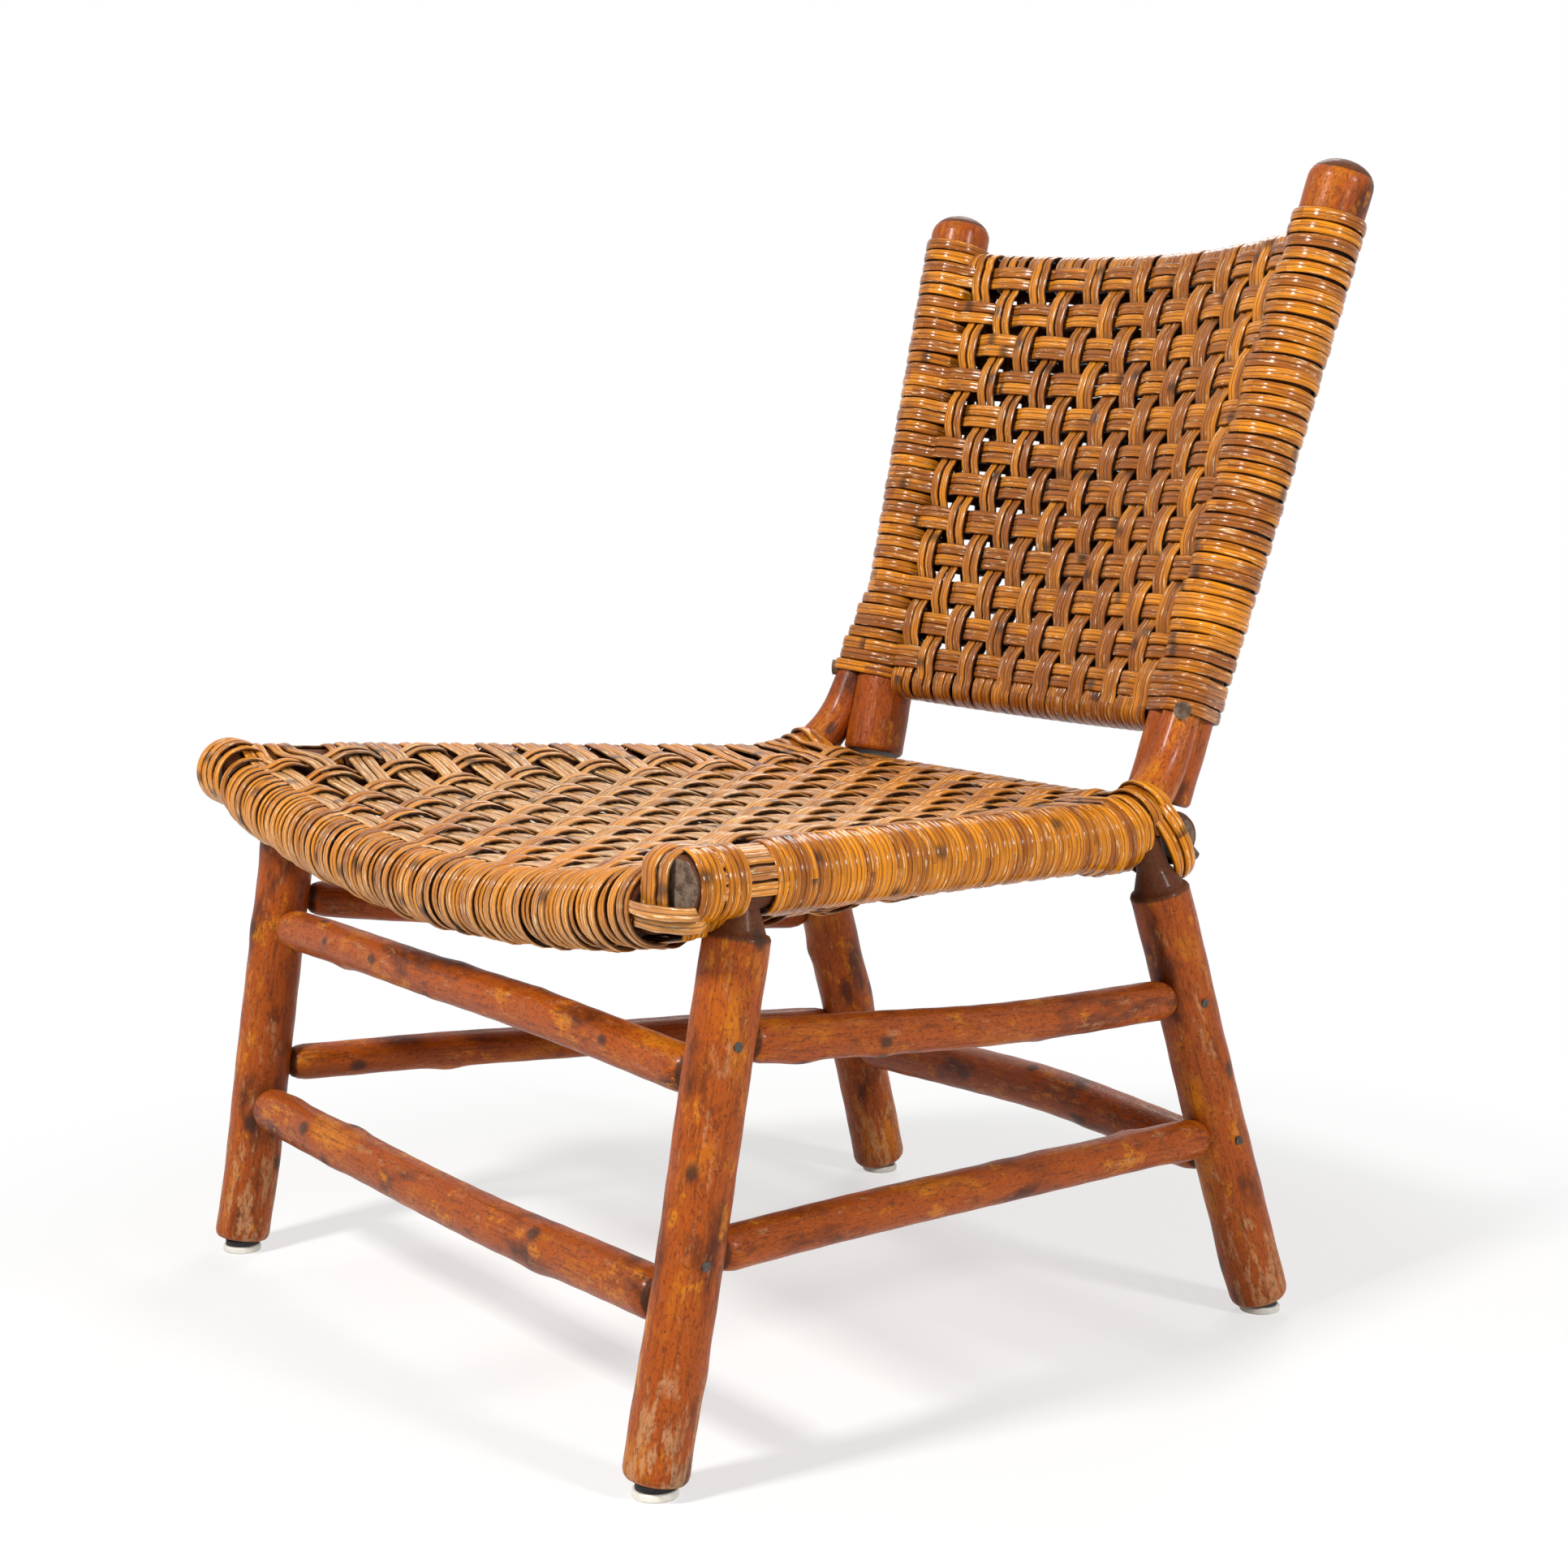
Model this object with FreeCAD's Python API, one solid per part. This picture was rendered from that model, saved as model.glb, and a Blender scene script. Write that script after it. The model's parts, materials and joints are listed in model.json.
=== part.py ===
"""Rustic pole lounge chair with a woven rattan seat and back, as separate pieces.

Millimetres, +Z up. The origin is on the floor under the middle of the chair's outline.
The sitter faces -Y, and +X is at the sitter's left hand.
"""
import FreeCAD, Part
import math
import os

V = FreeCAD.Vector

# Driving sizes: legs
FRONT_LEG_DIA = 40.0
REAR_LEG_DIA = 41.0
FRONT_FOOT = (302.0, -316.0)
FRONT_LEG_LEAN = (0.022, 0.162)
REAR_FOOT = (231.0, 225.0)
REAR_LEG_LEAN = (-0.062, -0.286)
FRONT_SHOULDER_Z = 328.0
REAR_SHOULDER_Z = 304.0
FOOT_ROUND = 4.0
LEG_TENON_DIA = 22.0
LEG_TENON_NECK = 16.0
LEG_NECK_DROP = 6.0
FRONT_TENON_TOP_Z = 362.0
REAR_TENON_TOP_Z = 348.0

# Driving sizes: stretchers, given as heights where their axes meet the leg axes
FRONT_UPPER_Z = 243.0
FRONT_LOWER_Z = 111.0
SIDE_UPPER_Z = (265.0, 227.0)
SIDE_LOWER_Z = (139.0, 129.0)
REAR_STRETCHER_Z = 113.0
FRONT_UPPER_DIA = 29.0
FRONT_LOWER_DIA = 32.0
SIDE_UPPER_DIA = 27.0
SIDE_LOWER_DIA = 27.0
REAR_STRETCHER_DIA = 34.0
FRONT_UPPER_BOW = 4.0
FRONT_LOWER_BOW = -5.0
SIDE_UPPER_BOW = -5.0
SIDE_LOWER_BOW = 2.5
REAR_STRETCHER_BOW = 8.0
STRETCHER_TENON_DIA = 16.0
STRETCHER_TENON_STOP = 2.5
STRETCHER_TENON_ROOT = 20.0
STRETCHER_SWELL = 1.0

# Driving sizes: seat frame
SIDE_RAIL_DIA = 38.0
SIDE_RAIL_FRONT = (325.0, -327.0, 360.0)
KNEE_Z = 341.0
KNEE_REACH = 40.0
KNEE_RADIUS = 90.0
UPRIGHT_TIP_DIA = 24.0
UPRIGHT_TIP_REACH = 16.0
FRONT_RAIL_DIA = 40.0
FRONT_RAIL_Y = -301.0
FRONT_RAIL_END_Z = 351.0
FRONT_RAIL_DISH = 34.0
REAR_RAIL_DIA = 38.0
REAR_RAIL_Y = 158.5
REAR_RAIL_Z = 336.5
REAR_RAIL_HALF = 226.0
RAIL_TENON_DIA = 20.0
RAIL_TENON_DEPTH = 13.0
RAIL_TENON_ROOT = 12.0
REAR_RAIL_ROUND = 6.0

# Driving sizes: back frame
POST_DIA = 46.0
POST_FOOT = (171.0, 172.0, 358.0)
POST_LEAN = (0.103, 0.28)
LEFT_POST_RISE = 55.0
RIGHT_POST_RISE = 39.0
POST_DOME = 14.0
LAP_FLAT = 13.0
LAP_TOP_Z = 484.0
TOP_RAIL_DIA = 26.0
TOP_RAIL_Z = 738.0
TOP_RAIL_BOW = 40.0
BOTTOM_RAIL_DIA = 26.0
BOTTOM_RAIL_Z = 418.0
BOTTOM_RAIL_BOW = 15.0
BACK_TENON_DIA = 15.0
BACK_TENON_DEPTH = 13.0
BACK_TENON_ROOT = 8.0

# Driving sizes: rattan, laid as belts of flat strands that close round the rails
STRAND = 3.0
CROSSING_GAP = 0.6
WARP_RAIL_CLEAR = 15.0
WARP_LOOP_CLEAR = 3.0
SEAT_WARP_BANDS = 12
SEAT_WEFT_BANDS = 9
BAND_GAP = 12.0
SEAT_WEFT_FRONT_Y = -234.0
SEAT_WEFT_REAR_Y = 72.0
BACK_WARP_TOP_HALF = 174.0
BACK_WARP_BOTTOM_HALF = 146.0
BACK_WEFT_TOP_Z = 712.0
BACK_WEFT_BOTTOM_Z = 444.0
CORNER_LOOP_DIA = 6.0
CORNER_LOOP_GAP = 10.0

# Driving sizes: feet and fasteners
GLIDE_DIA = 28.0
GLIDE_THICK = 5.0
GLIDE_ROUND = 1.5
CUSHION_DIA = 24.0
CUSHION_THICK = 4.0
GLIDE_NAIL_DIA = 4.0
GLIDE_NAIL_LENGTH = 30.0
PLUG_DIA = 12.0
PLUG_DEPTH = 5.0
PLUG_PROUD = 1.0
PLUG_Z = 424.0
LAP_SCREW_DIA = 4.5
LAP_SCREW_HEAD_DIA = 9.0
LAP_SCREW_HEAD = 3.0
LAP_SCREW_LENGTH = 36.0
HEEL_SCREW_LENGTH = 44.0
HEEL_SCREW_INSET = 16.0
JOINT_NAIL_DIA = 2.8
JOINT_NAIL_HEAD_DIA = 6.0
JOINT_NAIL_HEAD = 1.2
JOINT_NAIL_LENGTH = 27.0

# Clearances
FIT = 0.15
SEAT = 0.3
WRAP_GAP = 1.0

ARC_STEPS = 8
POST_LEAD_STEPS = 2
# Half side of the blocks that trim feet and laps; only larger than what they trim
TRIM = 100.0
SIDES = {"left": 1, "right": -1}


def mirrored(point, side):
    """A point given for the sitter's left, moved to the wanted side."""
    return V(side * point[0], point[1], point[2])


def leg_point(foot, lean, z, side):
    """The point of a leg's axis at a height."""
    return V(side * (foot[0] + lean[0] * z), foot[1] + lean[1] * z, z)


def front_axis(z, side):
    return leg_point(FRONT_FOOT, FRONT_LEG_LEAN, z, side)


def rear_axis(z, side):
    return leg_point(REAR_FOOT, REAR_LEG_LEAN, z, side)


def post_axis(z, side):
    rise = z - POST_FOOT[2]
    return V(side * (POST_FOOT[0] + POST_LEAN[0] * rise), POST_FOOT[1] + POST_LEAN[1] * rise, z)


def ring(center, normal, seam, diameter):
    """A circle square to the normal, with its start point turned toward the seam."""
    n = normal.normalize()
    x = (seam - n * seam.dot(n)).normalize()
    y = n.cross(x)
    circle = Part.makeCircle(diameter / 2)
    circle.Placement = FreeCAD.Placement(FreeCAD.Matrix(
        x.x, y.x, n.x, center.x, x.y, y.y, n.y, center.y, x.z, y.z, n.z, center.z, 0, 0, 0, 1))
    return Part.Wire(circle)


def pole(points, diameters):
    """A round pole through the points, with its own diameter at each."""
    run = points[-1] - points[0]
    seam = min((V(1, 0, 0), V(0, 1, 0), V(0, 0, 1)), key=lambda axis: abs(axis.dot(run)))
    last = len(points) - 1
    wires = []
    for i, point in enumerate(points):
        tangent = points[min(i + 1, last)] - points[max(i - 1, 0)]
        wires.append(ring(point, tangent, seam, diameters[i]))
    solid = Part.makeLoft(wires, True, False)
    if solid.Volume < 0:
        solid.reverse()
    return solid


def rod(start, end, diameter):
    return Part.makeCylinder(diameter / 2, (end - start).Length, start, end - start)


def cone(start, end, start_dia, end_dia):
    return Part.makeCone(start_dia / 2, end_dia / 2, (end - start).Length, start, end - start)


def along(start, end, distance):
    """The point that lies a distance from start on the way to end."""
    return start + (end - start).normalize() * distance


def lowest_edge(shape):
    return min(shape.Edges, key=lambda e: e.BoundBox.ZMax)


def highest_edge(shape):
    return max(shape.Edges, key=lambda e: e.BoundBox.ZMin)


# Legs

FOOT_Z = GLIDE_THICK + CUSHION_THICK


def leg_blank(axis, side, diameter, top_z, grow=0.0):
    """The round of a leg from below the floor to its shoulder."""
    return pole([axis(-TRIM / 2, side), axis(top_z, side)], [diameter + grow, diameter + grow])


def leg(axis, side, diameter, shoulder_z, tenon_top_z):
    """A leg cut level and rounded at the foot, with a necked tenon on top."""
    below = Part.makeBox(2 * TRIM, 2 * TRIM, TRIM, axis(FOOT_Z, side) - V(TRIM, TRIM, TRIM))
    body = leg_blank(axis, side, diameter, shoulder_z).cut(below)
    body = body.makeFillet(FOOT_ROUND, [lowest_edge(body)])
    shoulder = axis(shoulder_z, side)
    top = axis(tenon_top_z, side)
    neck_top = along(shoulder, top, LEG_TENON_NECK)
    neck = cone(shoulder, neck_top, diameter - LEG_NECK_DROP, LEG_TENON_DIA)
    return body.fuse([neck, rod(shoulder, top, LEG_TENON_DIA)]).removeSplitter()


def leg_socket(axis, side, diameter, shoulder_z, tenon_top_z):
    """The space that a leg's neck and tenon take in the rail above."""
    shoulder = axis(shoulder_z, side)
    top = axis(tenon_top_z, side)
    bore = rod(shoulder, along(shoulder, top, (top - shoulder).Length + FIT), LEG_TENON_DIA + 2 * FIT)
    neck_top = along(shoulder, top, LEG_TENON_NECK)
    mouth = cone(shoulder, neck_top, diameter - LEG_NECK_DROP + 2 * FIT, LEG_TENON_DIA + 2 * FIT)
    return bore.fuse(mouth)


# Stretchers

def stretcher_body(start, end, diameter, bow):
    """A pole between two leg axes that bows up or down and swells a little in the middle."""
    points = []
    widths = []
    for share in (0.0, 0.25, 0.5, 0.75, 1.0):
        arch = math.sin(math.pi * share)
        points.append(start + (end - start) * share + V(0, 0, bow * arch))
        widths.append(diameter + STRETCHER_SWELL * (2 * arch - 1))
    return pole(points, widths)


def stretcher(start, end, diameter, bow, leg_cuts):
    """A stretcher coped to its legs, with a turned tenon at each end."""
    body = stretcher_body(start, end, diameter, bow).cut(leg_cuts)
    return body.fuse([stretcher_tenon(start, end), stretcher_tenon(end, start)]).removeSplitter()


def stretcher_tenon(start, end, grow=0.0):
    """The tenon at the start end; it runs from inside the leg to inside the body."""
    deep = along(start, end, STRETCHER_TENON_STOP - grow)
    root = along(start, end, max(FRONT_LEG_DIA, REAR_LEG_DIA) / 2 + STRETCHER_TENON_ROOT)
    return rod(deep, root, STRETCHER_TENON_DIA + 2 * grow)


def stretcher_lines():
    """Every stretcher: name, end points on the leg axes, diameter and bow."""
    lines = [
        ("front_upper_stretcher", front_axis(FRONT_UPPER_Z, -1), front_axis(FRONT_UPPER_Z, 1),
         FRONT_UPPER_DIA, FRONT_UPPER_BOW),
        ("front_lower_stretcher", front_axis(FRONT_LOWER_Z, -1), front_axis(FRONT_LOWER_Z, 1),
         FRONT_LOWER_DIA, FRONT_LOWER_BOW),
        ("rear_stretcher", rear_axis(REAR_STRETCHER_Z, -1), rear_axis(REAR_STRETCHER_Z, 1),
         REAR_STRETCHER_DIA, REAR_STRETCHER_BOW),
    ]
    for name, side in SIDES.items():
        lines.append((f"{name}_upper_stretcher", front_axis(SIDE_UPPER_Z[0], side),
                      rear_axis(SIDE_UPPER_Z[1], side), SIDE_UPPER_DIA, SIDE_UPPER_BOW))
        lines.append((f"{name}_lower_stretcher", front_axis(SIDE_LOWER_Z[0], side),
                      rear_axis(SIDE_LOWER_Z[1], side), SIDE_LOWER_DIA, SIDE_LOWER_BOW))
    return lines


# Seat frame

def lap_direction(side):
    """Level direction from a post's axis to the rail that lies against it."""
    return V(side * 0.72, -0.694, 0)


def upright_point(z, reach, side):
    """A point of the rail's upright end, a level reach from the post's axis."""
    return post_axis(z, side) + lap_direction(side) * reach


def knee(side):
    """Where the rail's straight run and its upright would meet without the bend."""
    return upright_point(KNEE_Z, KNEE_REACH, side)


def upright_reach(z):
    """The level distance of the upright's axis from the post's, which closes upward."""
    share = (z - KNEE_Z) / (LAP_TOP_Z - KNEE_Z)
    return KNEE_REACH + (UPRIGHT_TIP_REACH - KNEE_REACH) * share


def side_rail_point(y, side):
    """The point of a side rail's straight run at a distance from the front."""
    front = mirrored(SIDE_RAIL_FRONT, side)
    share = (y - front.y) / (knee(side).y - front.y)
    return front + (knee(side) - front) * share


def side_rail_bend(side):
    """Start, middle and end of the bend between the straight run and the upright."""
    corner = knee(side)
    run = (corner - mirrored(SIDE_RAIL_FRONT, side)).normalize()
    rise = (upright_point(LAP_TOP_Z, UPRIGHT_TIP_REACH, side) - corner).normalize()
    half_angle = run.getAngle(rise) / 2
    reach = KNEE_RADIUS * math.tan(half_angle)
    inward = (rise - run).normalize()
    middle = corner + inward * (KNEE_RADIUS / math.cos(half_angle) - KNEE_RADIUS)
    return corner - run * reach, middle, corner + rise * reach


def upright_radius(z):
    """The radius of the rail's upright, which tapers above the bend."""
    end = side_rail_bend(1)[2]
    share = (z - end.z) / (LAP_TOP_Z - end.z)
    return (SIDE_RAIL_DIA + (UPRIGHT_TIP_DIA - SIDE_RAIL_DIA) * share) / 2


def side_rail_blank(side, grow=0.0):
    """The bent pole: straight under the seat, then up along the post to a thin end."""
    front = mirrored(SIDE_RAIL_FRONT, side)
    start, middle, end = side_rail_bend(side)
    tip = upright_point(LAP_TOP_Z, UPRIGHT_TIP_REACH, side)
    bend = Part.Wire(Part.Arc(start, middle, end).toShape())
    section = Part.Face(ring(start, start - front, V(1, 0, 0), SIDE_RAIL_DIA + grow))
    upright = cone(end, tip, SIDE_RAIL_DIA + grow, UPRIGHT_TIP_DIA + grow)
    return rod(front, start, SIDE_RAIL_DIA + grow).fuse([bend.makePipe(section), upright])


def lap_half(side, flat, top_z, way):
    """The half space beside the lap's flat, up to a height; way is 1 out from the post, -1 toward it."""
    foot = post_axis(POST_FOOT[2], side)
    top = post_axis(top_z, side)
    rise = (top - foot).normalize()
    out = lap_direction(side)
    out = (out - rise * out.dot(rise)).normalize()
    across = rise.cross(out)
    corner = foot - rise * TRIM + out * flat - across * TRIM
    far = out * (way * TRIM)
    face = Part.Face(Part.makePolygon(
        [corner, corner + across * (2 * TRIM), corner + across * (2 * TRIM) + far, corner + far, corner]))
    return face.extrude(rise * ((top - foot).Length + TRIM))


def front_rail_z(x):
    """The front rail's height, which dips in the middle."""
    half = front_rail_half()
    return FRONT_RAIL_END_Z - FRONT_RAIL_DISH * (1 - (x / half) ** 2)


def front_rail_half():
    """Half the distance between the side rails' axes at the front rail."""
    return side_rail_point(FRONT_RAIL_Y, 1).x


def front_rail(side_cuts):
    """The dished front rail, tenoned between the side rails."""
    half = front_rail_half()
    points = [V(half * share, FRONT_RAIL_Y, front_rail_z(half * share))
              for share in (-1, -0.66, -0.33, 0, 0.33, 0.66, 1)]
    body = pole(points, [FRONT_RAIL_DIA] * len(points)).cut(side_cuts)
    return body.fuse([front_rail_tenon(side) for side in SIDES.values()]).removeSplitter()


def front_rail_tenon(side, grow=0.0):
    """The front rail's tenon in a side rail, with its root in the rail."""
    reach = front_rail_half() - SIDE_RAIL_DIA / 2 + RAIL_TENON_DEPTH + grow
    end = V(side * reach, FRONT_RAIL_Y, FRONT_RAIL_END_Z)
    inner = end - V(side * (RAIL_TENON_DEPTH + RAIL_TENON_ROOT), 0, 0)
    return rod(inner, end, RAIL_TENON_DIA + 2 * grow)


def rear_rail():
    """The straight rear rail, rounded at both ends, behind the heels of the side rails."""
    ends = [V(side * REAR_RAIL_HALF, REAR_RAIL_Y, REAR_RAIL_Z) for side in (-1, 1)]
    body = rod(ends[0], ends[1], REAR_RAIL_DIA)
    rims = [e for e in body.Edges if e.BoundBox.XMax - e.BoundBox.XMin < 1]
    return body.makeFillet(REAR_RAIL_ROUND, rims)


# Back frame

BACK_RISE = V(0, POST_LEAN[1], 1).normalize()
BACK_OUT = V(0, 1, -POST_LEAN[1]).normalize()


def post(side, top_z):
    """A straight back post: domed top, square foot, and a flat for the rail's lap."""
    body = rod(post_axis(POST_FOOT[2], side), post_axis(top_z, side), POST_DIA)
    body = body.makeFillet(POST_DOME, [highest_edge(body)])
    return body.cut(lap_half(side, LAP_FLAT, LAP_TOP_Z, 1))


def back_half(z):
    """Half the distance between the posts' axes at a height."""
    return post_axis(z, 1).x


def bowed(x, z, bow):
    """A point of a back rail's axis; the bow is backward, square to the back."""
    half = back_half(z)
    return V(x, post_axis(z, 1).y, z) + BACK_OUT * (bow * (1 - (x / half) ** 2))


def back_rail(z, bow, diameter, post_cuts):
    """A back rail bowed backward between the posts, with a tenon in each."""
    half = back_half(z)
    points = [bowed(half * share, z, bow) for share in (-1, -0.6, -0.2, 0.2, 0.6, 1)]
    body = pole(points, [diameter] * len(points)).cut(post_cuts)
    return body.fuse([back_tenon(z, bow, side) for side in SIDES.values()]).removeSplitter()


def back_tenon(z, bow, side, grow=0.0):
    """A back rail's tenon in a post, with its root in the rail."""
    half = back_half(z)
    end = bowed(side * (half - POST_DIA / 2 + BACK_TENON_DEPTH + grow), z, bow)
    inner = bowed(side * (half - POST_DIA / 2 - BACK_TENON_ROOT), z, bow)
    return rod(inner, end, BACK_TENON_DIA + 2 * grow)


# Rattan belts

def half_turn(bars, first, second, lead=0, tail=0):
    """Points of a half turn round all bars, from first, through -second, to -first.

    Each bar is a center and a radius, and the farthest bar sets each point. Lead and tail
    are extra steps before and after the half turn.
    """
    points = []
    for i in range(-lead, ARC_STEPS + tail + 1):
        angle = math.pi * i / ARC_STEPS
        way = first * math.cos(angle) - second * math.sin(angle)
        center, radius = max(bars, key=lambda bar: bar[0].dot(way) + bar[1])
        points.append(center + way * radius)
    return points


def wrap_radius(bar_dia):
    """The radius of a many-sided wrap that stays clear of a round bar."""
    return (bar_dia / 2 + WRAP_GAP) / math.cos(math.pi / ARC_STEPS / 2)


def closed(points):
    """A closed line through points."""
    return Part.makePolygon(points + points[:1])


def belt(path, stations):
    """A belt of strands: path(station, lift) gives its loop, lifted by the strand's thickness."""
    outer = Part.makeLoft([path(s, STRAND) for s in stations], True, True)
    inner = Part.makeLoft([path(s, 0.0) for s in stations], True, True)
    return outer.cut(inner)


def bands(path, half, count):
    """Belts side by side with a gap between them, over a width that runs from -half to half.

    path(place, lift) gives the loop at a place; a band is straight across.
    """
    wide = (2 * half - (count - 1) * BAND_GAP) / count
    starts = [-half + i * (wide + BAND_GAP) for i in range(count)]
    return Part.makeCompound([belt(path, [start, start + wide]) for start in starts])


def warp_front_half():
    """Half the width of the seat's front-to-rear strands at the front rail."""
    return side_rail_point(FRONT_RAIL_Y, 1).x - SIDE_RAIL_DIA / 2 - WARP_RAIL_CLEAR


def warp_rear_half():
    """Half their width at the rear rail, inside the loops tied round the side rails."""
    loop = CORNER_LOOP_DIA + WRAP_GAP + WARP_LOOP_CLEAR
    return side_rail_point(REAR_RAIL_Y, 1).x - SIDE_RAIL_DIA / 2 - loop


def warp_rear_x(front_x):
    """Where a strand that leaves the front rail at a place meets the rear rail; all close up alike."""
    return front_x * warp_rear_half() / warp_front_half()


def seat_warp_path(x, lift):
    """Front-to-rear strands of the seat, at a place across the front rail."""
    front = V(x, FRONT_RAIL_Y, front_rail_z(x))
    rear = V(warp_rear_x(x), REAR_RAIL_Y, REAR_RAIL_Z)
    across = V(rear.x - front.x, rear.y - front.y, 0).normalize()
    up = V(0, 0, 1)
    return closed(half_turn([(front, wrap_radius(FRONT_RAIL_DIA) + lift)], up, across)
                  + half_turn([(rear, wrap_radius(REAR_RAIL_DIA) + lift)], up * -1, across * -1))


def seat_warp_z(x, y, layer):
    """Height of the seat warp's outer face; layer is 1 on top and -1 below."""
    share = (y - FRONT_RAIL_Y) / (REAR_RAIL_Y - FRONT_RAIL_Y)
    half = warp_front_half() + (warp_rear_half() - warp_front_half()) * share
    front = front_rail_z(warp_front_half() * x / half) + layer * wrap_radius(FRONT_RAIL_DIA)
    rear = REAR_RAIL_Z + layer * wrap_radius(REAR_RAIL_DIA)
    return front + (rear - front) * share + layer * STRAND


def seat_weft_path(place, lift):
    """Side-to-side strands of the seat, outside the warp, at a place from the middle of their run."""
    y = (SEAT_WEFT_FRONT_Y + SEAT_WEFT_REAR_Y) / 2 + place
    share = (y - FRONT_RAIL_Y) / (REAR_RAIL_Y - FRONT_RAIL_Y)
    half = warp_front_half() + (warp_rear_half() - warp_front_half()) * share
    xs = [half * s for s in (-1, -0.75, -0.5, -0.25, 0, 0.25, 0.5, 0.75, 1)]
    under = [V(x, y, seat_warp_z(x, y, -1) - CROSSING_GAP - lift) for x in xs]
    over = [V(x, y, seat_warp_z(x, y, 1) + CROSSING_GAP + lift) for x in reversed(xs)]
    radius = wrap_radius(SIDE_RAIL_DIA) + lift
    up = V(0, 0, 1)
    across = V(1, 0, 0)
    return closed(half_turn([(side_rail_point(y, -1), radius)], up, across) + under
                  + half_turn([(side_rail_point(y, 1), radius)], up * -1, across * -1) + over)


def back_warp_path(share, lift):
    """Upright strands of the back, at a share of its half width."""
    bottom = bowed(BACK_WARP_BOTTOM_HALF * share, BOTTOM_RAIL_Z, BOTTOM_RAIL_BOW)
    top = bowed(BACK_WARP_TOP_HALF * share, TOP_RAIL_Z, TOP_RAIL_BOW)
    across = top - bottom
    across = (across - BACK_OUT * across.dot(BACK_OUT)).normalize()
    return closed(half_turn([(bottom, wrap_radius(BOTTOM_RAIL_DIA) + lift)], BACK_OUT * -1, across)
                  + half_turn([(top, wrap_radius(TOP_RAIL_DIA) + lift)], BACK_OUT, across * -1))


def back_warp_depth(x, z, layer):
    """How far behind the posts' axes the warp's outer face lies; layer is 1 in front."""
    share = (z - BOTTOM_RAIL_Z) / (TOP_RAIL_Z - BOTTOM_RAIL_Z)
    half = BACK_WARP_BOTTOM_HALF + (BACK_WARP_TOP_HALF - BACK_WARP_BOTTOM_HALF) * share
    bottom = BOTTOM_RAIL_BOW * (1 - (BACK_WARP_BOTTOM_HALF * x / half / back_half(BOTTOM_RAIL_Z)) ** 2)
    top = TOP_RAIL_BOW * (1 - (BACK_WARP_TOP_HALF * x / half / back_half(TOP_RAIL_Z)) ** 2)
    return bottom + (top - bottom) * share - layer * (wrap_radius(TOP_RAIL_DIA) + STRAND)


def back_weft_path(z, lift):
    """Level strands of the back, outside the warp and round the posts."""
    share = (z - BOTTOM_RAIL_Z) / (TOP_RAIL_Z - BOTTOM_RAIL_Z)
    half = BACK_WARP_BOTTOM_HALF + (BACK_WARP_TOP_HALF - BACK_WARP_BOTTOM_HALF) * share
    xs = [half * s for s in (-1, -0.75, -0.5, -0.25, 0, 0.25, 0.5, 0.75, 1)]
    base = V(0, post_axis(z, 1).y, z)
    under = [base + V(x, 0, 0) + BACK_OUT * (back_warp_depth(x, z, -1) + CROSSING_GAP + lift) for x in xs]
    over = [base + V(x, 0, 0) + BACK_OUT * (back_warp_depth(x, z, 1) - CROSSING_GAP - lift)
            for x in reversed(xs)]
    across = V(1, 0, 0)
    return closed(half_turn(post_bars(z, -1, lift), BACK_OUT * -1, across, lead=POST_LEAD_STEPS) + under
                  + half_turn(post_bars(z, 1, lift), BACK_OUT, across * -1, tail=POST_LEAD_STEPS) + over)


def post_bars(z, side, lift):
    """The post and, beside the lap, the rail's upright, as bars for a level strand."""
    bars = [(post_axis(z, side), wrap_radius(POST_DIA) + lift)]
    if z < LAP_TOP_Z + UPRIGHT_TIP_DIA:
        z = min(z, LAP_TOP_Z)
        upright = upright_point(z, upright_reach(z), side)
        upright -= BACK_RISE * (upright - bars[0][0]).dot(BACK_RISE)
        bars.append((upright, wrap_radius(2 * upright_radius(z)) + lift))
    return bars


def corner_loop(side):
    """A single thick strand tied round the side rail where it starts to bend."""
    start = side_rail_bend(side)[0]
    run = start - mirrored(SIDE_RAIL_FRONT, side)
    center = along(start, start + run, CORNER_LOOP_GAP)
    radius = SIDE_RAIL_DIA / 2 + WRAP_GAP + CORNER_LOOP_DIA / 2
    return Part.makeTorus(radius, CORNER_LOOP_DIA / 2, center, run)


# Feet and fasteners

def foot_center(axis, side):
    """The point of the floor under a leg's axis."""
    foot = axis(FOOT_Z, side)
    return V(foot.x, foot.y, 0)


def glide(center):
    """A nylon disc with a softened rim and a hole for its nail."""
    disc = Part.makeCylinder(GLIDE_DIA / 2, GLIDE_THICK, center)
    disc = disc.makeFillet(GLIDE_ROUND, disc.Edges[:1] + disc.Edges[2:])
    return disc.cut(glide_nail(center, FIT))


def cushion(center):
    """The rubber disc between a glide and its leg."""
    disc = Part.makeCylinder(CUSHION_DIA / 2, CUSHION_THICK, center + V(0, 0, GLIDE_THICK))
    return disc.cut(glide_nail(center, FIT))


def glide_nail(center, grow=0.0):
    """The nail that holds a glide, sunk in the disc and driven up into the leg."""
    start = center + V(0, 0, GLIDE_THICK / 2 - grow)
    return Part.makeCylinder(GLIDE_NAIL_DIA / 2 + grow, GLIDE_NAIL_LENGTH + 2 * grow, start)


def plug_line(side):
    """Where the plug's axis leaves the rail, and the way in toward the post."""
    out = lap_direction(side)
    start = upright_point(PLUG_Z, upright_reach(PLUG_Z) + upright_radius(PLUG_Z), side)
    return start, out * -1


def plug(side, grow=0.0):
    """The end-grain plug over a lap screw, a little proud of the rail."""
    start, inward = plug_line(side)
    return rod(start - inward * PLUG_PROUD, start + inward * (PLUG_DEPTH + grow), PLUG_DIA + 2 * grow)


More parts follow.
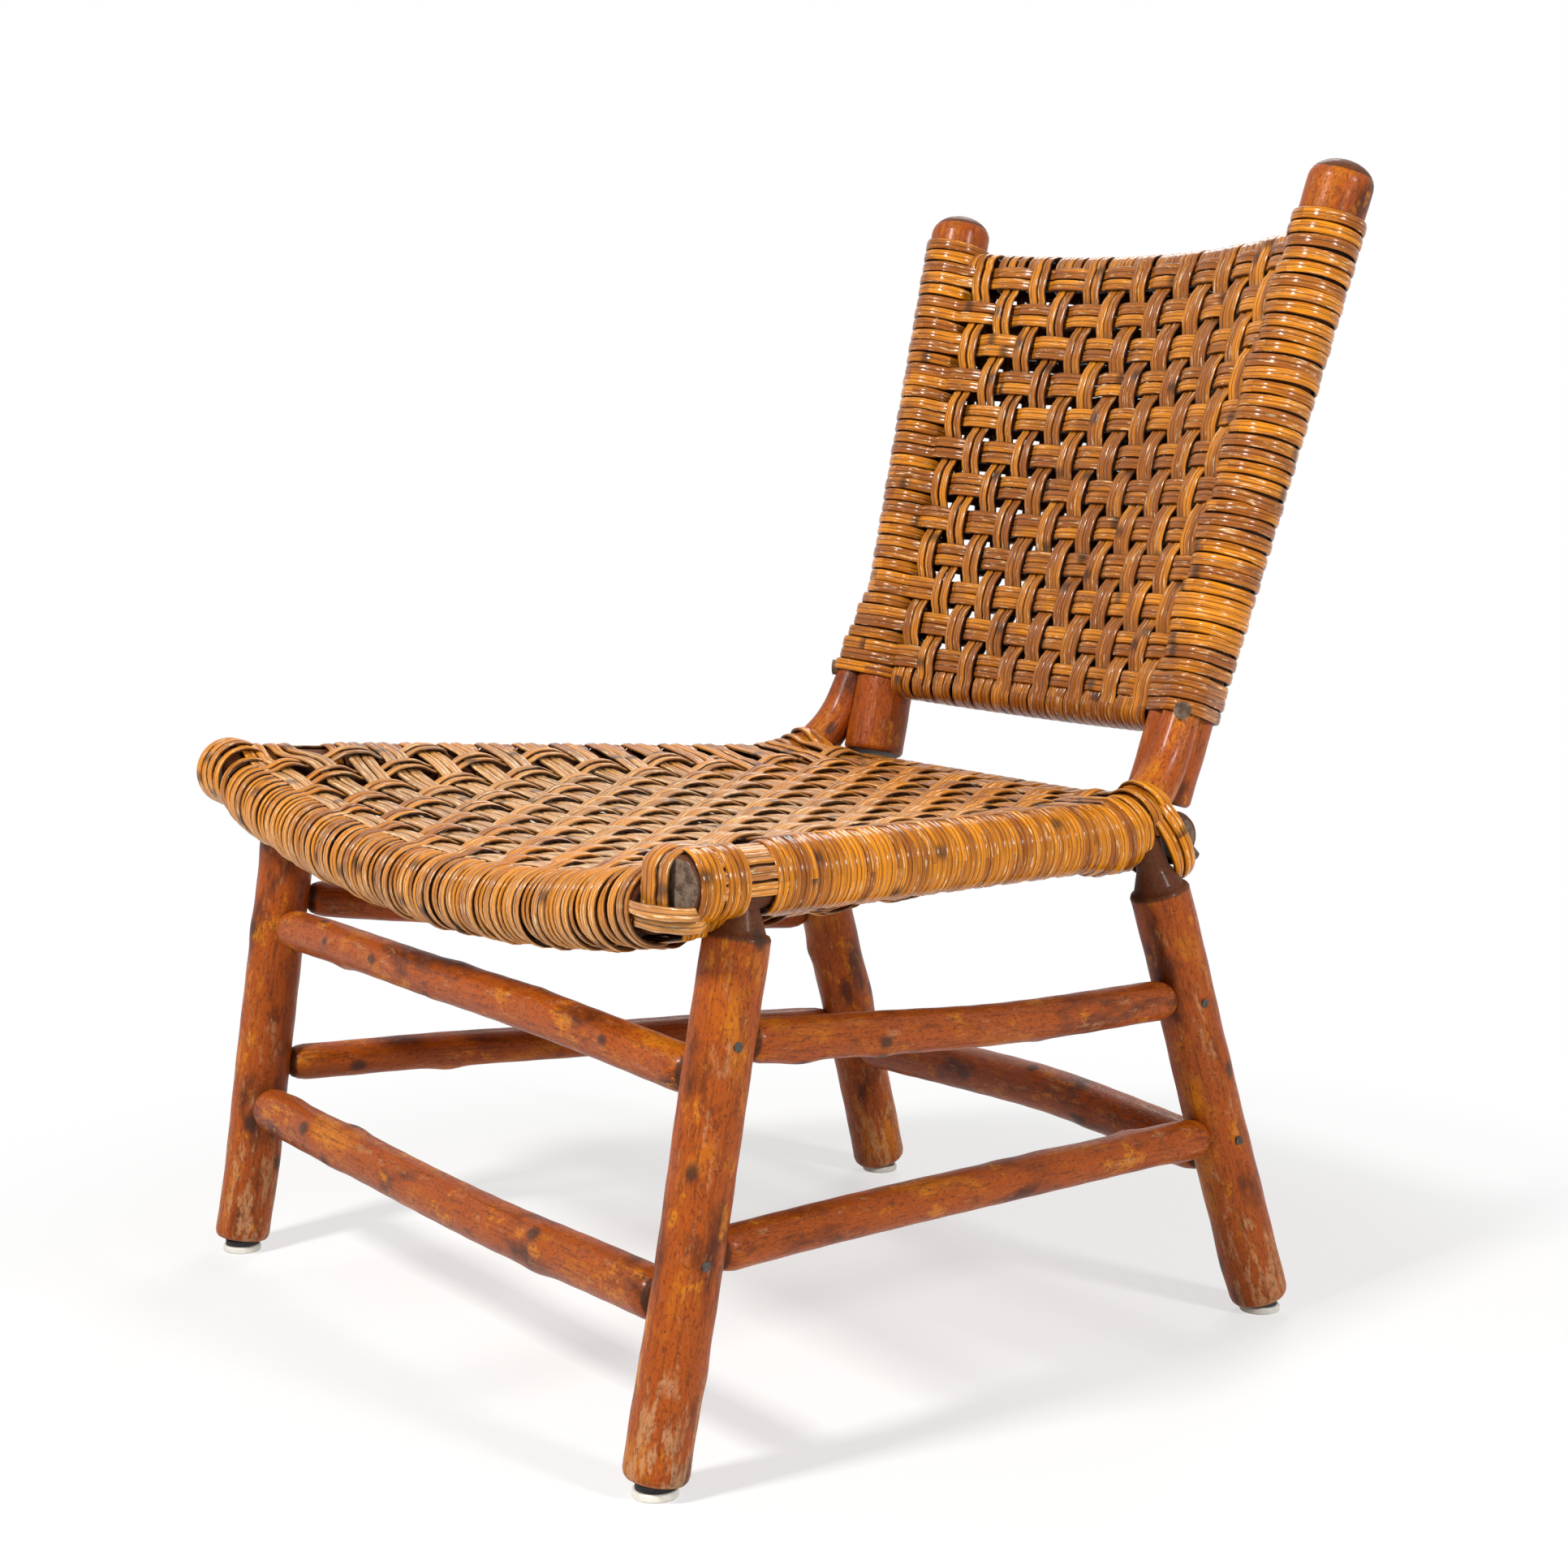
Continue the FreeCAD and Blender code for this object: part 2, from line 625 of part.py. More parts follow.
def lap_screw(side, grow=0.0):
    """The screw under the plug, through the rail into the post."""
    start, inward = plug_line(side)
    head = start + inward * (PLUG_DEPTH + SEAT - grow)
    neck = head + inward * (LAP_SCREW_HEAD + 2 * grow)
    tip = neck + inward * LAP_SCREW_LENGTH
    return rod(head, neck, LAP_SCREW_HEAD_DIA + 2 * grow).fuse(rod(head, tip, LAP_SCREW_DIA + 2 * grow))


def heel_screw(side, grow=0.0):
    """The screw from the back of the rear rail into the side rail's heel."""
    center = V(side * (REAR_RAIL_HALF - HEEL_SCREW_INSET), REAR_RAIL_Y, REAR_RAIL_Z)
    inward = V(0, -1, 1).normalize()
    head = center - inward * (REAR_RAIL_DIA / 2 - LAP_SCREW_HEAD + grow)
    neck = head + inward * (LAP_SCREW_HEAD + 2 * grow)
    outside = center - inward * (REAR_RAIL_DIA / 2 + (LAP_SCREW_HEAD if grow else 0))
    tip = neck + inward * HEEL_SCREW_LENGTH
    return rod(outside, neck, LAP_SCREW_HEAD_DIA + 2 * grow).fuse(rod(head, tip, LAP_SCREW_DIA + 2 * grow))


def joint_nails(grow=0.0):
    """Nails through the legs' outer faces into the tenons of the side stretchers."""
    nails = []
    for side in SIDES.values():
        for axis, diameter, heights in (
            (front_axis, FRONT_LEG_DIA, (SIDE_UPPER_Z[0], SIDE_LOWER_Z[0])),
            (rear_axis, REAR_LEG_DIA, (SIDE_UPPER_Z[1], SIDE_LOWER_Z[1])),
        ):
            for z in heights:
                face = axis(z, side) + V(side * diameter / 2, 0, 0)
                inward = V(-side, 0, 0)
                head = rod(face - inward * (JOINT_NAIL_HEAD / 2), face + inward * (JOINT_NAIL_HEAD + grow),
                           JOINT_NAIL_HEAD_DIA + 2 * grow)
                shank = rod(face, face + inward * (JOINT_NAIL_LENGTH + grow), JOINT_NAIL_DIA + 2 * grow)
                nails.append(head.fuse(shank))
    return nails


# Assembly

def build():
    """Every piece by its name, with the cuts that let each fit its neighbours."""
    parts = {}
    legs = {
        "left_front": (front_axis, 1, FRONT_LEG_DIA, FRONT_SHOULDER_Z, FRONT_TENON_TOP_Z),
        "right_front": (front_axis, -1, FRONT_LEG_DIA, FRONT_SHOULDER_Z, FRONT_TENON_TOP_Z),
        "left_rear": (rear_axis, 1, REAR_LEG_DIA, REAR_SHOULDER_Z, REAR_TENON_TOP_Z),
        "right_rear": (rear_axis, -1, REAR_LEG_DIA, REAR_SHOULDER_Z, REAR_TENON_TOP_Z),
    }
    lines = stretcher_lines()
    nail_holes = joint_nails(FIT)
    leg_cuts = [leg_blank(axis, side, dia, shoulder, 2 * SEAT)
                for axis, side, dia, shoulder, _ in legs.values()]
    tenon_bores = [stretcher_tenon(a, b, FIT) for _, a, b, _, _ in lines]
    tenon_bores += [stretcher_tenon(b, a, FIT) for _, a, b, _, _ in lines]

    for name, (axis, side, dia, shoulder, top) in legs.items():
        center = foot_center(axis, side)
        body = leg(axis, side, dia, shoulder, top)
        parts[f"{name}_leg"] = body.cut(tenon_bores + nail_holes + [glide_nail(center, FIT)])
        parts[f"{name}_glide"] = glide(center)
        parts[f"{name}_glide_cushion"] = cushion(center)
    feet = [foot_center(axis, side) for axis, side, *_ in legs.values()]
    parts["glide_nails"] = Part.makeCompound([glide_nail(center) for center in feet])

    for name, start, end, dia, bow in lines:
        parts[name] = stretcher(start, end, dia, bow, leg_cuts).cut(nail_holes)
    parts["joint_nails"] = Part.makeCompound(joint_nails())

    sockets = [leg_socket(*spec) for spec in legs.values()]
    screws = [lap_screw(side, FIT) for side in SIDES.values()]
    screws += [heel_screw(side, FIT) for side in SIDES.values()]
    for name, side in SIDES.items():
        hollow = sockets + screws + [front_rail_tenon(side, FIT), plug(side, FIT)]
        lapped = side_rail_blank(side).cut(lap_half(side, LAP_FLAT + SEAT, LAP_TOP_Z + TRIM, -1))
        parts[f"{name}_side_rail"] = lapped.cut(hollow)
        parts[f"{name}_screw_plug"] = plug(side)
        parts[f"{name}_corner_loop"] = corner_loop(side)
    parts["frame_screws"] = Part.makeCompound(
        [lap_screw(side) for side in SIDES.values()] + [heel_screw(side) for side in SIDES.values()])

    side_cuts = [side_rail_blank(side, 2 * SEAT) for side in SIDES.values()]
    parts["front_seat_rail"] = front_rail(side_cuts)
    parts["rear_seat_rail"] = rear_rail().cut(screws + side_cuts + leg_cuts + sockets)

    rises = {"left": LEFT_POST_RISE, "right": RIGHT_POST_RISE}
    post_cuts = []
    for name, side in SIDES.items():
        top = post_axis(TOP_RAIL_Z + rises[name], side)
        post_cuts.append(rod(post_axis(POST_FOOT[2], side), top, POST_DIA + 2 * SEAT))
    rails = {"top_back_rail": (TOP_RAIL_Z, TOP_RAIL_BOW, TOP_RAIL_DIA),
             "bottom_back_rail": (BOTTOM_RAIL_Z, BOTTOM_RAIL_BOW, BOTTOM_RAIL_DIA)}
    for name, (z, bow, dia) in rails.items():
        parts[name] = back_rail(z, bow, dia, post_cuts)
    for name, side in SIDES.items():
        bores = [back_tenon(z, bow, side, FIT) for z, bow, _ in rails.values()]
        parts[f"{name}_back_post"] = post(side, TOP_RAIL_Z + rises[name]).cut(bores + screws)

    spread = [-1, -0.75, -0.5, -0.25, 0, 0.25, 0.5, 0.75, 1]
    parts["seat_warp_strands"] = bands(seat_warp_path, warp_front_half(), SEAT_WARP_BANDS)
    weft_half = (SEAT_WEFT_REAR_Y - SEAT_WEFT_FRONT_Y) / 2
    parts["seat_weft_strands"] = bands(seat_weft_path, weft_half, SEAT_WEFT_BANDS)
    parts["back_warp_strands"] = belt(back_warp_path, spread)
    parts["back_weft_strands"] = belt(back_weft_path, steps(BACK_WEFT_BOTTOM_Z, BACK_WEFT_TOP_Z, 6))
    return parts


def steps(first, last, count):
    """Evenly spaced values from first to last."""
    return [first + (last - first) * i / count for i in range(count + 1)]


os.makedirs("parts", exist_ok=True)
for node, shape in build().items():
    shape.exportStep(f"parts/{node}.step")
    print(node, len(shape.Solids), "valid" if shape.isValid() else "INVALID", round(shape.Volume))
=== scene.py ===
"""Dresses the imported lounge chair: knotty hickory poles, two-layer rattan weave and a plain white studio."""
import json
import math

import bpy
import numpy as np
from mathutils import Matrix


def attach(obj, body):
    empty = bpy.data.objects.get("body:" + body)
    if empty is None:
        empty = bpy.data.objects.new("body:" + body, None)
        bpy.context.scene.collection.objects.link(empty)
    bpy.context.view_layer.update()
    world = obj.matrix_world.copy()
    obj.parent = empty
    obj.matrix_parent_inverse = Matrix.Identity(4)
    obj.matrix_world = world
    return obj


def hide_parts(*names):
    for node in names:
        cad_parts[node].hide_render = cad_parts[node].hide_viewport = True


bl_info = {
    "name": "Rustic Pole Lounge Chair",
    "version": (1, 0, 0),
    "blender": (4, 5, 0),
    "location": "View3D > Sidebar > Pole Chair",
    "description": "Hickory poles, woven rattan seat and back, glides and a studio for one lounge chair",
    "category": "Add Mesh",
}

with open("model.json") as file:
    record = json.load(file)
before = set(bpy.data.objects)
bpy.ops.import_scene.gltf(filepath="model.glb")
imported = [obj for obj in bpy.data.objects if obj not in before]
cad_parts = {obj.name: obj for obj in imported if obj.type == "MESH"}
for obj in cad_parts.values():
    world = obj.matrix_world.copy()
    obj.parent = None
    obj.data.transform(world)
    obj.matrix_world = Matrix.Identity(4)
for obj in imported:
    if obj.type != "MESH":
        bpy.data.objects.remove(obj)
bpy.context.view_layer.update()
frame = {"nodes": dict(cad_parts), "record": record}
BODY = "root"
SIDES = {"left": 1, "right": -1}
BACK_SLOPE = 0.28


# Property helpers

def length(label, text, value):
    """A size in metres."""
    return bpy.props.FloatProperty(name=label, description=text, default=value, unit="LENGTH", precision=4)


def place(label, text, value):
    """A point, or several sizes, in metres."""
    return bpy.props.FloatVectorProperty(
        name=label, description=text, default=value, size=len(value), unit="LENGTH", precision=4)


def slope(label, text, value):
    """How far a pole moves along X and Y for each metre of height."""
    return bpy.props.FloatVectorProperty(name=label, description=text, default=value, size=2, precision=3)


def count(label, text, value):
    """A whole number of pieces."""
    return bpy.props.IntProperty(name=label, description=text, default=value, min=1)


def ratio(label, text, value):
    """A plain share."""
    return bpy.props.FloatProperty(name=label, description=text, default=value)


def colour(label, text, red, green, blue):
    """A colour given as screen values from 0 to 255, kept as linear values."""
    screen = np.array([red, green, blue]) / 255
    linear = np.where(screen <= 0.04045, screen / 12.92, ((screen + 0.055) / 1.055) ** 2.4)
    return bpy.props.FloatVectorProperty(
        name=label, description=text, default=tuple(float(v) for v in linear), size=3, subtype="COLOR",
        min=0, max=1)


class PoleSizes(bpy.types.PropertyGroup):
    """Where the poles stand and how thick they are."""
    foot_z: length("Foot height", "Underside of the legs, on top of the glides", 0.009)
    front_foot: place("Front foot", "Front leg axis at the floor", (0.302, -0.316))
    front_lean: slope("Front lean", "Lean of the front legs", (0.022, 0.162))
    rear_foot: place("Rear foot", "Rear leg axis at the floor", (0.231, 0.225))
    rear_lean: slope("Rear lean", "Lean of the rear legs", (-0.062, -0.286))
    front_leg_dia: length("Front leg", "Diameter of a front leg", 0.040)
    rear_leg_dia: length("Rear leg", "Diameter of a rear leg", 0.041)
    front_shoulder: length("Front shoulder", "Height where a front leg narrows", 0.328)
    rear_shoulder: length("Rear shoulder", "Height where a rear leg narrows", 0.304)
    leg_tenon: place("Leg tenon", "Tenon diameter, neck length and reach above the shoulder",
                     (0.022, 0.016, 0.036))
    stretcher_tenon: length("Stretcher tenon", "Diameter of a stretcher's slim end", 0.016)
    front_upper_stretcher: place("Front upper stretcher", "Height, diameter and bow", (0.243, 0.029, 0.004))
    front_lower_stretcher: place("Front lower stretcher", "Height, diameter and bow", (0.111, 0.032, -0.005))
    rear_stretcher: place("Rear stretcher", "Height, diameter and bow", (0.113, 0.034, 0.008))
    side_stretcher_dia: length("Side stretchers", "Diameter of a side stretcher", 0.027)
    upper_stretcher: place("Upper side stretchers", "Height at the front and the rear leg, and bow",
                           (0.265, 0.227, -0.005))
    lower_stretcher: place("Lower side stretchers", "Height at the front and the rear leg, and bow",
                           (0.139, 0.129, 0.0025))
    side_rail_dia: length("Side rail", "Diameter of a side seat rail", 0.038)
    side_rail_front: place("Side rail front", "Front end of a side seat rail's axis", (0.325, -0.327, 0.360))
    side_rail_trim: place("Side rail trim", "How far the left and right rails stop short", (0.018, 0.012))
    rail_whittle: place("Rail whittle", "Length and radius of the front rail's slim left end",
                        (0.016, 0.0095))
    knee: place("Knee", "Height, reach from the post and radius of the side rail's bend",
                (0.341, 0.040, 0.090))
    lap_top: length("Lap top", "Height where the side rail's upright ends", 0.484)
    upright_tip: place("Upright tip", "Diameter and reach from the post at the upright's end",
                       (0.019, 0.0145))
    front_rail_dia: length("Front rail", "Diameter of the front seat rail", 0.040)
    front_rail_y: length("Front rail place", "Y of the front seat rail's axis", -0.301)
    front_rail_z: length("Front rail height", "Height of the front seat rail's ends", 0.351)
    front_rail_half: length("Front rail half", "Half the distance between the side rails there", 0.3179)
    front_dish: length("Front dish", "How far the front seat rail dips in the middle", 0.034)
    rear_rail: place("Rear rail", "Y, Z and half length of the rear seat rail", (0.1585, 0.3365, 0.209))
    rear_rail_dia: length("Rear rail diameter", "Diameter of the rear seat rail", 0.038)
    post_dia: length("Back post", "Diameter of a back post", 0.046)
    post_foot: place("Post foot", "Lower end of a back post's axis", (0.171, 0.172, 0.358))
    post_lean: slope("Post lean", "Lean of the back posts", (0.103, BACK_SLOPE))
    post_tops: place("Post tops", "Height of the left and the right post's axis end", (0.796, 0.781))
    top_rail: place("Top rail", "Diameter, height and bow of the top back rail", (0.024, 0.738, 0.040))
    bottom_rail: place("Bottom rail", "Diameter, height and bow of the bottom back rail",
                       (0.024, 0.418, 0.015))


class RattanSizes(bpy.types.PropertyGroup):
    """The strands and how they are laid."""
    strand: place("Strand", "Width and thickness of a rattan strand", (0.0086, 0.0030))
    seat_pair: length("Seat pair", "From the middle of a seat pair to each strand", 0.0047)
    seat_strand: length("Seat strand", "Width of a strand on the seat", 0.0094)
    seat_pairs: count("Seat pairs", "Pairs of strands from front to rear", 19)
    seat_rows: count("Seat rows", "Pairs of strands from side to side", 16)
    seat_pitch: length("Seat pitch", "Distance between front-to-rear pairs at the front", 0.0305)
    seat_row_pitch: length("Seat row pitch", "Distance between side-to-side pairs", 0.0280)
    seat_spacer: length("Seat spacer", "Width of a strand wound between pairs on the front rail", 0.0040)
    seat_waves: place("Seat waves", "Swing of the front-to-rear and of the side-to-side strands",
                      (0.0036, 0.0007))
    seat_first_row: length("First row", "Y of the first row behind the front rail", -0.2885)
    seat_taper: ratio("Seat taper", "Share by which the pairs close up at the rear", 0.18)
    loop_center: place("Loop centre", "Middle of the left rear corner's loop", (0.199, 0.1465, 0.342))
    loop_half: place("Loop half", "Half the loop's breadth, then Y and Z from its middle to its top",
                     (0.028, -0.0195, 0.0325))
    loop_strands: place("Loop strands", "Widths of the rear and the front strand, and their thickness",
                        (0.0100, 0.0086, 0.0046))
    back_rows: count("Back rows", "Pairs of level strands in the back", 12)
    back_columns: count("Back columns", "Places across the back, the right post's face among them", 15)
    back_row_ends: place("Back row ends", "Height of the lowest and the highest row", (0.433, 0.731))
    back_strand: length("Back strand", "Width of a strand in the back", 0.0090)
    back_pair: length("Back pair", "From the middle of a back pair to each strand", 0.0045)
    column_insets: place("Column insets", "From the right and left posts' axes to the outer columns",
                         (0.014, 0.034))
    column_drift: ratio("Column drift", "How much the columns close up towards the left post", 0.05)
    rear_shift: ratio("Rear shift", "Share of a pitch by which the rear columns lie further left", -0.55)
    rear_lift: ratio("Rear lift", "Share of a pitch by which the rear rows lie higher", -0.03)
    back_half: length("Back half thickness", "Distance of each layer from the back's middle surface", 0.0168)
    wave: length("Wave", "How far a strand swings over and under", 0.0026)


class Finishes(bpy.types.PropertyGroup):
    """Colours of the wood, the rattan, the glides and the studio."""
    hickory_deep: colour("Hickory deep", "Darkest varnish on the poles", 84, 34, 4)
    hickory_red: colour("Hickory red", "Main varnish colour of the poles", 158, 72, 10)
    hickory_amber: colour("Hickory amber", "Lighter varnish on the poles", 186, 104, 14)
    hickory_ochre: colour("Hickory ochre", "Yellow islands in the varnish", 206, 124, 16)
    hickory_worn: colour("Hickory worn", "Bare grey-tan wood where the varnish is worn", 190, 146, 104)
    # Also used for the painted shade on rails and posts under the rattan wraps.
    hickory_stain_and_shade: colour("Hickory stain", "Knots and dark wood beside joints", 54, 32, 20)
    end_grain: colour("End grain", "Weathered sawn ends of the poles", 112, 92, 74)
    rattan_amber: colour("Rattan amber", "Main colour of the strands", 226, 138, 4)
    rattan_brown: colour("Rattan brown", "Darker stretches and streaks", 150, 78, 4)
    # Also the painted shade on the strands' inner faces and a painted contact shadow along their edges.
    rattan_dark: colour("Rattan dark", "Grooves and inner faces", 34, 14, 4)
    # Chips and bleached strand, and also painted highlights on worn strands.
    rattan_cream: colour("Rattan cream", "Chips and bleached strand", 255, 228, 180)
    rattan_worn: colour("Rattan worn", "Strands rubbed on the seat", 206, 164, 116)
    nylon: colour("Nylon", "Glide discs", 222, 218, 208)
    rubber: colour("Rubber", "Glide cushions", 26, 25, 25)
    steel: colour("Steel", "Nail heads and screws", 92, 86, 80)
    floor: colour("Floor", "Studio floor", 238, 237, 235)


def poles():
    """The pole sizes in use."""
    return bpy.context.scene.pole_sizes


def rattan():
    """The rattan sizes in use."""
    return bpy.context.scene.rattan_sizes


def finishes():
    """The colours in use."""
    return bpy.context.scene.chair_finishes


# Small numpy helpers

def unit(vectors):
    """Vectors divided by their lengths."""
    vectors = np.asarray(vectors, float)
    return vectors / np.linalg.norm(vectors, axis=-1, keepdims=True)


def ease(values, low, high):
    """0 below low, 1 above high, and a smooth 3t^2 - 2t^3 rise between them."""
    t = np.clip((values - low) / (high - low), 0, 1)
    return t * t * (3 - 2 * t)


def soft_max(a, b, blend):
    """The larger of a and b, rounded over where they are within blend of each other."""
    near = np.maximum(blend - np.abs(a - b), 0)
    return np.maximum(a, b) + near * near / (4 * blend)


def mix(a, b, share):
    """The value that lies at a share of the way from a to b."""
    return a + (b - a) * share


def drift(rng, rows, distance, reach, waves):
    """A slow random wander for each row: a sum of sines of the distance with random lengths and phases."""
    total = np.zeros((rows,) + np.shape(distance)[-1:])
    for k in range(waves):
        turns = rng.uniform(6, 26, (rows, 1)) * (k + 1) / waves
        phase = rng.uniform(0, 2 * np.pi, (rows, 1))
        total = total + np.sin(turns * distance + phase) * reach / waves
    return total


# Meshes

def add_mesh(name, points, quads, caps=None, uv=None, values=None, materials=()):
    """Puts points, four-sided faces and end caps into a new object that rides on the chair.
    Caps are rows of point numbers with one length, and take the second material."""
    caps = np.zeros((0, 3), int) if caps is None else np.asarray(caps)
    mesh = bpy.data.meshes.new(name)
    mesh.vertices.add(len(points))
    mesh.vertices.foreach_set("co", np.ascontiguousarray(points, np.float32).ravel())
    corners = np.concatenate([quads.ravel(), caps.ravel()]).astype(np.int32)
    mesh.loops.add(len(corners))
    mesh.loops.foreach_set("vertex_index", corners)
    starts = np.concatenate([np.arange(len(quads)) * 4, quads.size + np.arange(len(caps)) * caps.shape[1]])
    mesh.polygons.add(len(starts))
    mesh.polygons.foreach_set("loop_start", starts.astype(np.int32))
    smooth = np.ones(len(starts), bool)
    smooth[len(quads):] = False
    mesh.update(calc_edges=True)
    mesh.polygons.foreach_set("use_smooth", smooth)
    if uv is not None:
        layer = mesh.uv_layers.new(name="strand")
        spare = np.zeros((caps.size, 2))
        layer.data.foreach_set("uv", np.concatenate([uv.reshape(-1, 2), spare]).astype(np.float32).ravel())
    for key, data in (values or {}).items():
        kind = "FLOAT_VECTOR" if data.ndim == 2 else "FLOAT"
        field = "vector" if data.ndim == 2 else "value"
        attribute = mesh.attributes.new(key, kind, "POINT")
        attribute.data.foreach_set(field, np.ascontiguousarray(data, np.float32).ravel())
    for material in materials:
        mesh.materials.append(material)
    if len(materials) > 1:
        slots = np.zeros(len(starts), np.int32)
        slots[len(quads):] = 1
        mesh.polygons.foreach_set("material_index", slots)
    if mesh.validate(verbose=False):
        raise RuntimeError(name + " has broken faces")
    piece = bpy.data.objects.new(name, mesh)
    bpy.context.collection.objects.link(piece)
    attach(piece, BODY)
    return piece


def grid_faces(sets, rows, columns, closed):
    """Point numbers of the faces of several grids that close round their columns,
    and round their rows too where closed. Rows run along the path, columns round it."""
    ring = np.arange(rows if closed else rows - 1)
    around = np.arange(columns)
    next_ring = (ring + 1) % rows
    next_around = (around + 1) % columns
    quads = np.stack([
        ring[:, None] * columns + around,
        ring[:, None] * columns + next_around,
        next_ring[:, None] * columns + next_around,
        next_ring[:, None] * columns + around], axis=-1).reshape(1, -1, 4)
    return (quads + np.arange(sets)[:, None, None] * rows * columns).reshape(-1, 4)


def near_ends(d, reach, solid):
    """1 at the start and the end of a pole. It falls to 0 over each end's reach, after the solid share
    of it."""
    start, end = (1 - ease(away, solid * size, size + 1e-6) for away, size in zip((d, d[-1] - d), reach))
    return np.maximum(start, end)


# Fixed sizes of the poles' growth. Swells, ripples, calm and solid stretches are shares
POLE_SIDES = 44
POLE_STEP = 0.0042
STEADY_END = 0.05
SWELL = 0.012
RIPPLE = 0.006
RIPPLE_TURNS = 190
KNOT_EVERY = 0.075
KNOT_HEIGHT = (0.0007, 0.0022)
KNOT_RADIUS = (0.006, 0.011)
WRAP_GROOVE = 0.0009
WRAP_CALM = 0.9
WRAP_EDGE = (0.004, 0.008)
BARE_SOLID = 0.2
STAIN_AND_SHADE_SOLID = 0.85


def path_length(path):
    """Length of a line of points."""
    return np.linalg.norm(np.diff(path, axis=0), axis=1).sum()


def pole_axis(path, marks, rng, crook):
    """Distances along a path with the marks among them, its points there, which wander by crook away from
    the ends, and two directions square to it."""
    arc = np.concatenate([[0], np.cumsum(np.linalg.norm(np.diff(path, axis=0), axis=1))])
    total = arc[-1]
    d = np.union1d(np.linspace(0, total, int(total / POLE_STEP) + 2), np.clip(marks, 0, total))
    d = d[np.concatenate([[True], np.diff(d) > 1e-5])]
    center = np.stack([np.interp(d, arc, path[:, axis]) for axis in range(3)], axis=-1)
    along = unit(np.gradient(center, d, axis=0))
    spare = np.eye(3)[np.argmin(np.abs(along.mean(axis=0)))]
    side = unit(np.cross(along, spare))
    up = np.cross(along, side)
    still = ease(d, 0, STEADY_END) * ease(total - d, 0, STEADY_END)
    for way in (side, up):
        center = center + way * (still * drift(rng, 1, d, crook, 2)[0])[:, None]
    return d, center, side, up


def pole_growth(d, angle, largest, rng):
    """How far a pole's skin stands out at each distance and angle: slow swells and ripples, which are sines
    of both, and a rounded bump for each knot. The knots' dark cores come with it, as 0 to 1."""
    swell = np.zeros((len(d), len(angle)))
    for lobes in range(4):
        wave = drift(rng, 1, d * 1.6, 1, 2)[0]
        swell = swell + SWELL * largest * wave[:, None] * np.cos(lobes * angle + rng.uniform(0, 6))
    weave = 2 * np.sin(angle * 2 + 1)
    ripple = RIPPLE * largest * np.sin(d[:, None] * RIPPLE_TURNS + weave + rng.uniform(0, 6))
    number = max(2, int(d[-1] / KNOT_EVERY))
    knot_d = rng.uniform(0.08, 0.92, number) * d[-1]
    knot_angle = rng.uniform(0, 2 * np.pi, number)
    height = rng.uniform(*KNOT_HEIGHT, number)
    size = rng.uniform(*KNOT_RADIUS, number)
    turn = np.angle(np.exp(1j * (angle[:, None] - knot_angle)))
    away = ((d[:, None, None] - knot_d) / (1.5 * size)) ** 2 + (turn * largest / size) ** 2
    mounds = (np.exp(-away) * height).sum(axis=2)
    return swell + ripple + mounds, np.clip(np.exp(-4 * away).sum(axis=2), 0, 1)


def pole(name, path, stations, seed, worn=(0, 0), stain_and_shade_reach=(0, 0), wrapped=None, crook=0.0012):
    """A knotty pole round a path. At a distance d and an angle a its radius is the stations' radius at d
    plus the growth there, which is less where the pole is slim. Worn says how far bare wood reaches from
    the start and the end, and the next pair how far darkened wood reaches: real stain at joints, and
    painted shade on rails that rattan covers. Between the two wrapped distances the pole is plain and a
    little slimmer, because rattan is wound on it, and painted dark there as shade between the strands."""
    rng = np.random.default_rng(seed)
    marks, sizes = np.array(stations, float).T
    largest = sizes.max()
    d, center, side, up = pole_axis(path, marks, rng, crook)
    angle = np.arange(POLE_SIDES) * 2 * np.pi / POLE_SIDES
    growth, core = pole_growth(d, angle, largest, rng)
    hidden = np.zeros_like(d)
    if wrapped is not None:
        first, last = wrapped
        out, within = WRAP_EDGE
        hidden = ease(d, first - out, first + within) * (1 - ease(d, last - within, last + out))
    cover = hidden[:, None]
    radius = np.interp(d, marks, sizes)[:, None]
    full = np.clip(radius / largest, 0, 1) ** 3
    surface = radius - WRAP_GROOVE * cover + (1 - WRAP_CALM * cover) * full * growth
    flat = np.stack([surface * np.cos(angle), surface * np.sin(angle)], axis=-1)
    points = center[:, None] + flat[..., :1] * side[:, None] + flat[..., 1:] * up[:, None]
    lengthwise = np.broadcast_to(d[:, None, None], surface.shape + (1,))
    grain = np.concatenate([flat, lengthwise], axis=-1) + rng.uniform(0, 5, 3)
    bare = np.repeat(near_ends(d, worn, BARE_SOLID), POLE_SIDES)
    # Darkened wood: real stain near the joints, and painted shade over the stretch that rattan covers, so that
    # the gaps between the strands look dark.
    stain = np.repeat(np.maximum(near_ends(d, stain_and_shade_reach, STAIN_AND_SHADE_SOLID), hidden), POLE_SIDES)
    ring = np.arange(POLE_SIDES)
    caps = np.stack([ring[::-1], (len(d) - 1) * POLE_SIDES + ring])
    piece = add_mesh(
        name, points.reshape(-1, 3), grid_faces(1, len(d), POLE_SIDES, False), caps,
        values={"grain": grain.reshape(-1, 3), "knot": core.ravel(), "bare": bare, "stain": stain},
        materials=(bpy.data.materials["hickory_varnish"], bpy.data.materials["hickory_end_grain"]))
    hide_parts(name)


# Poles of the chair

PATH_POINTS = 60
LAP_DIRECTION = (0.72, -0.694)
FRONT_RAIL_SHORT = 0.012

# How far the wear of a foot, the stain of a joint, a taper and a dome reach from a pole's end
FOOT_WEAR = 0.11
JOINT_STAIN = 0.006
STRETCHER_STAIN = 0.005
UPRIGHT_TAPER = 0.19
POST_DOME = 0.016
POST_TOP_STAIN = 0.010

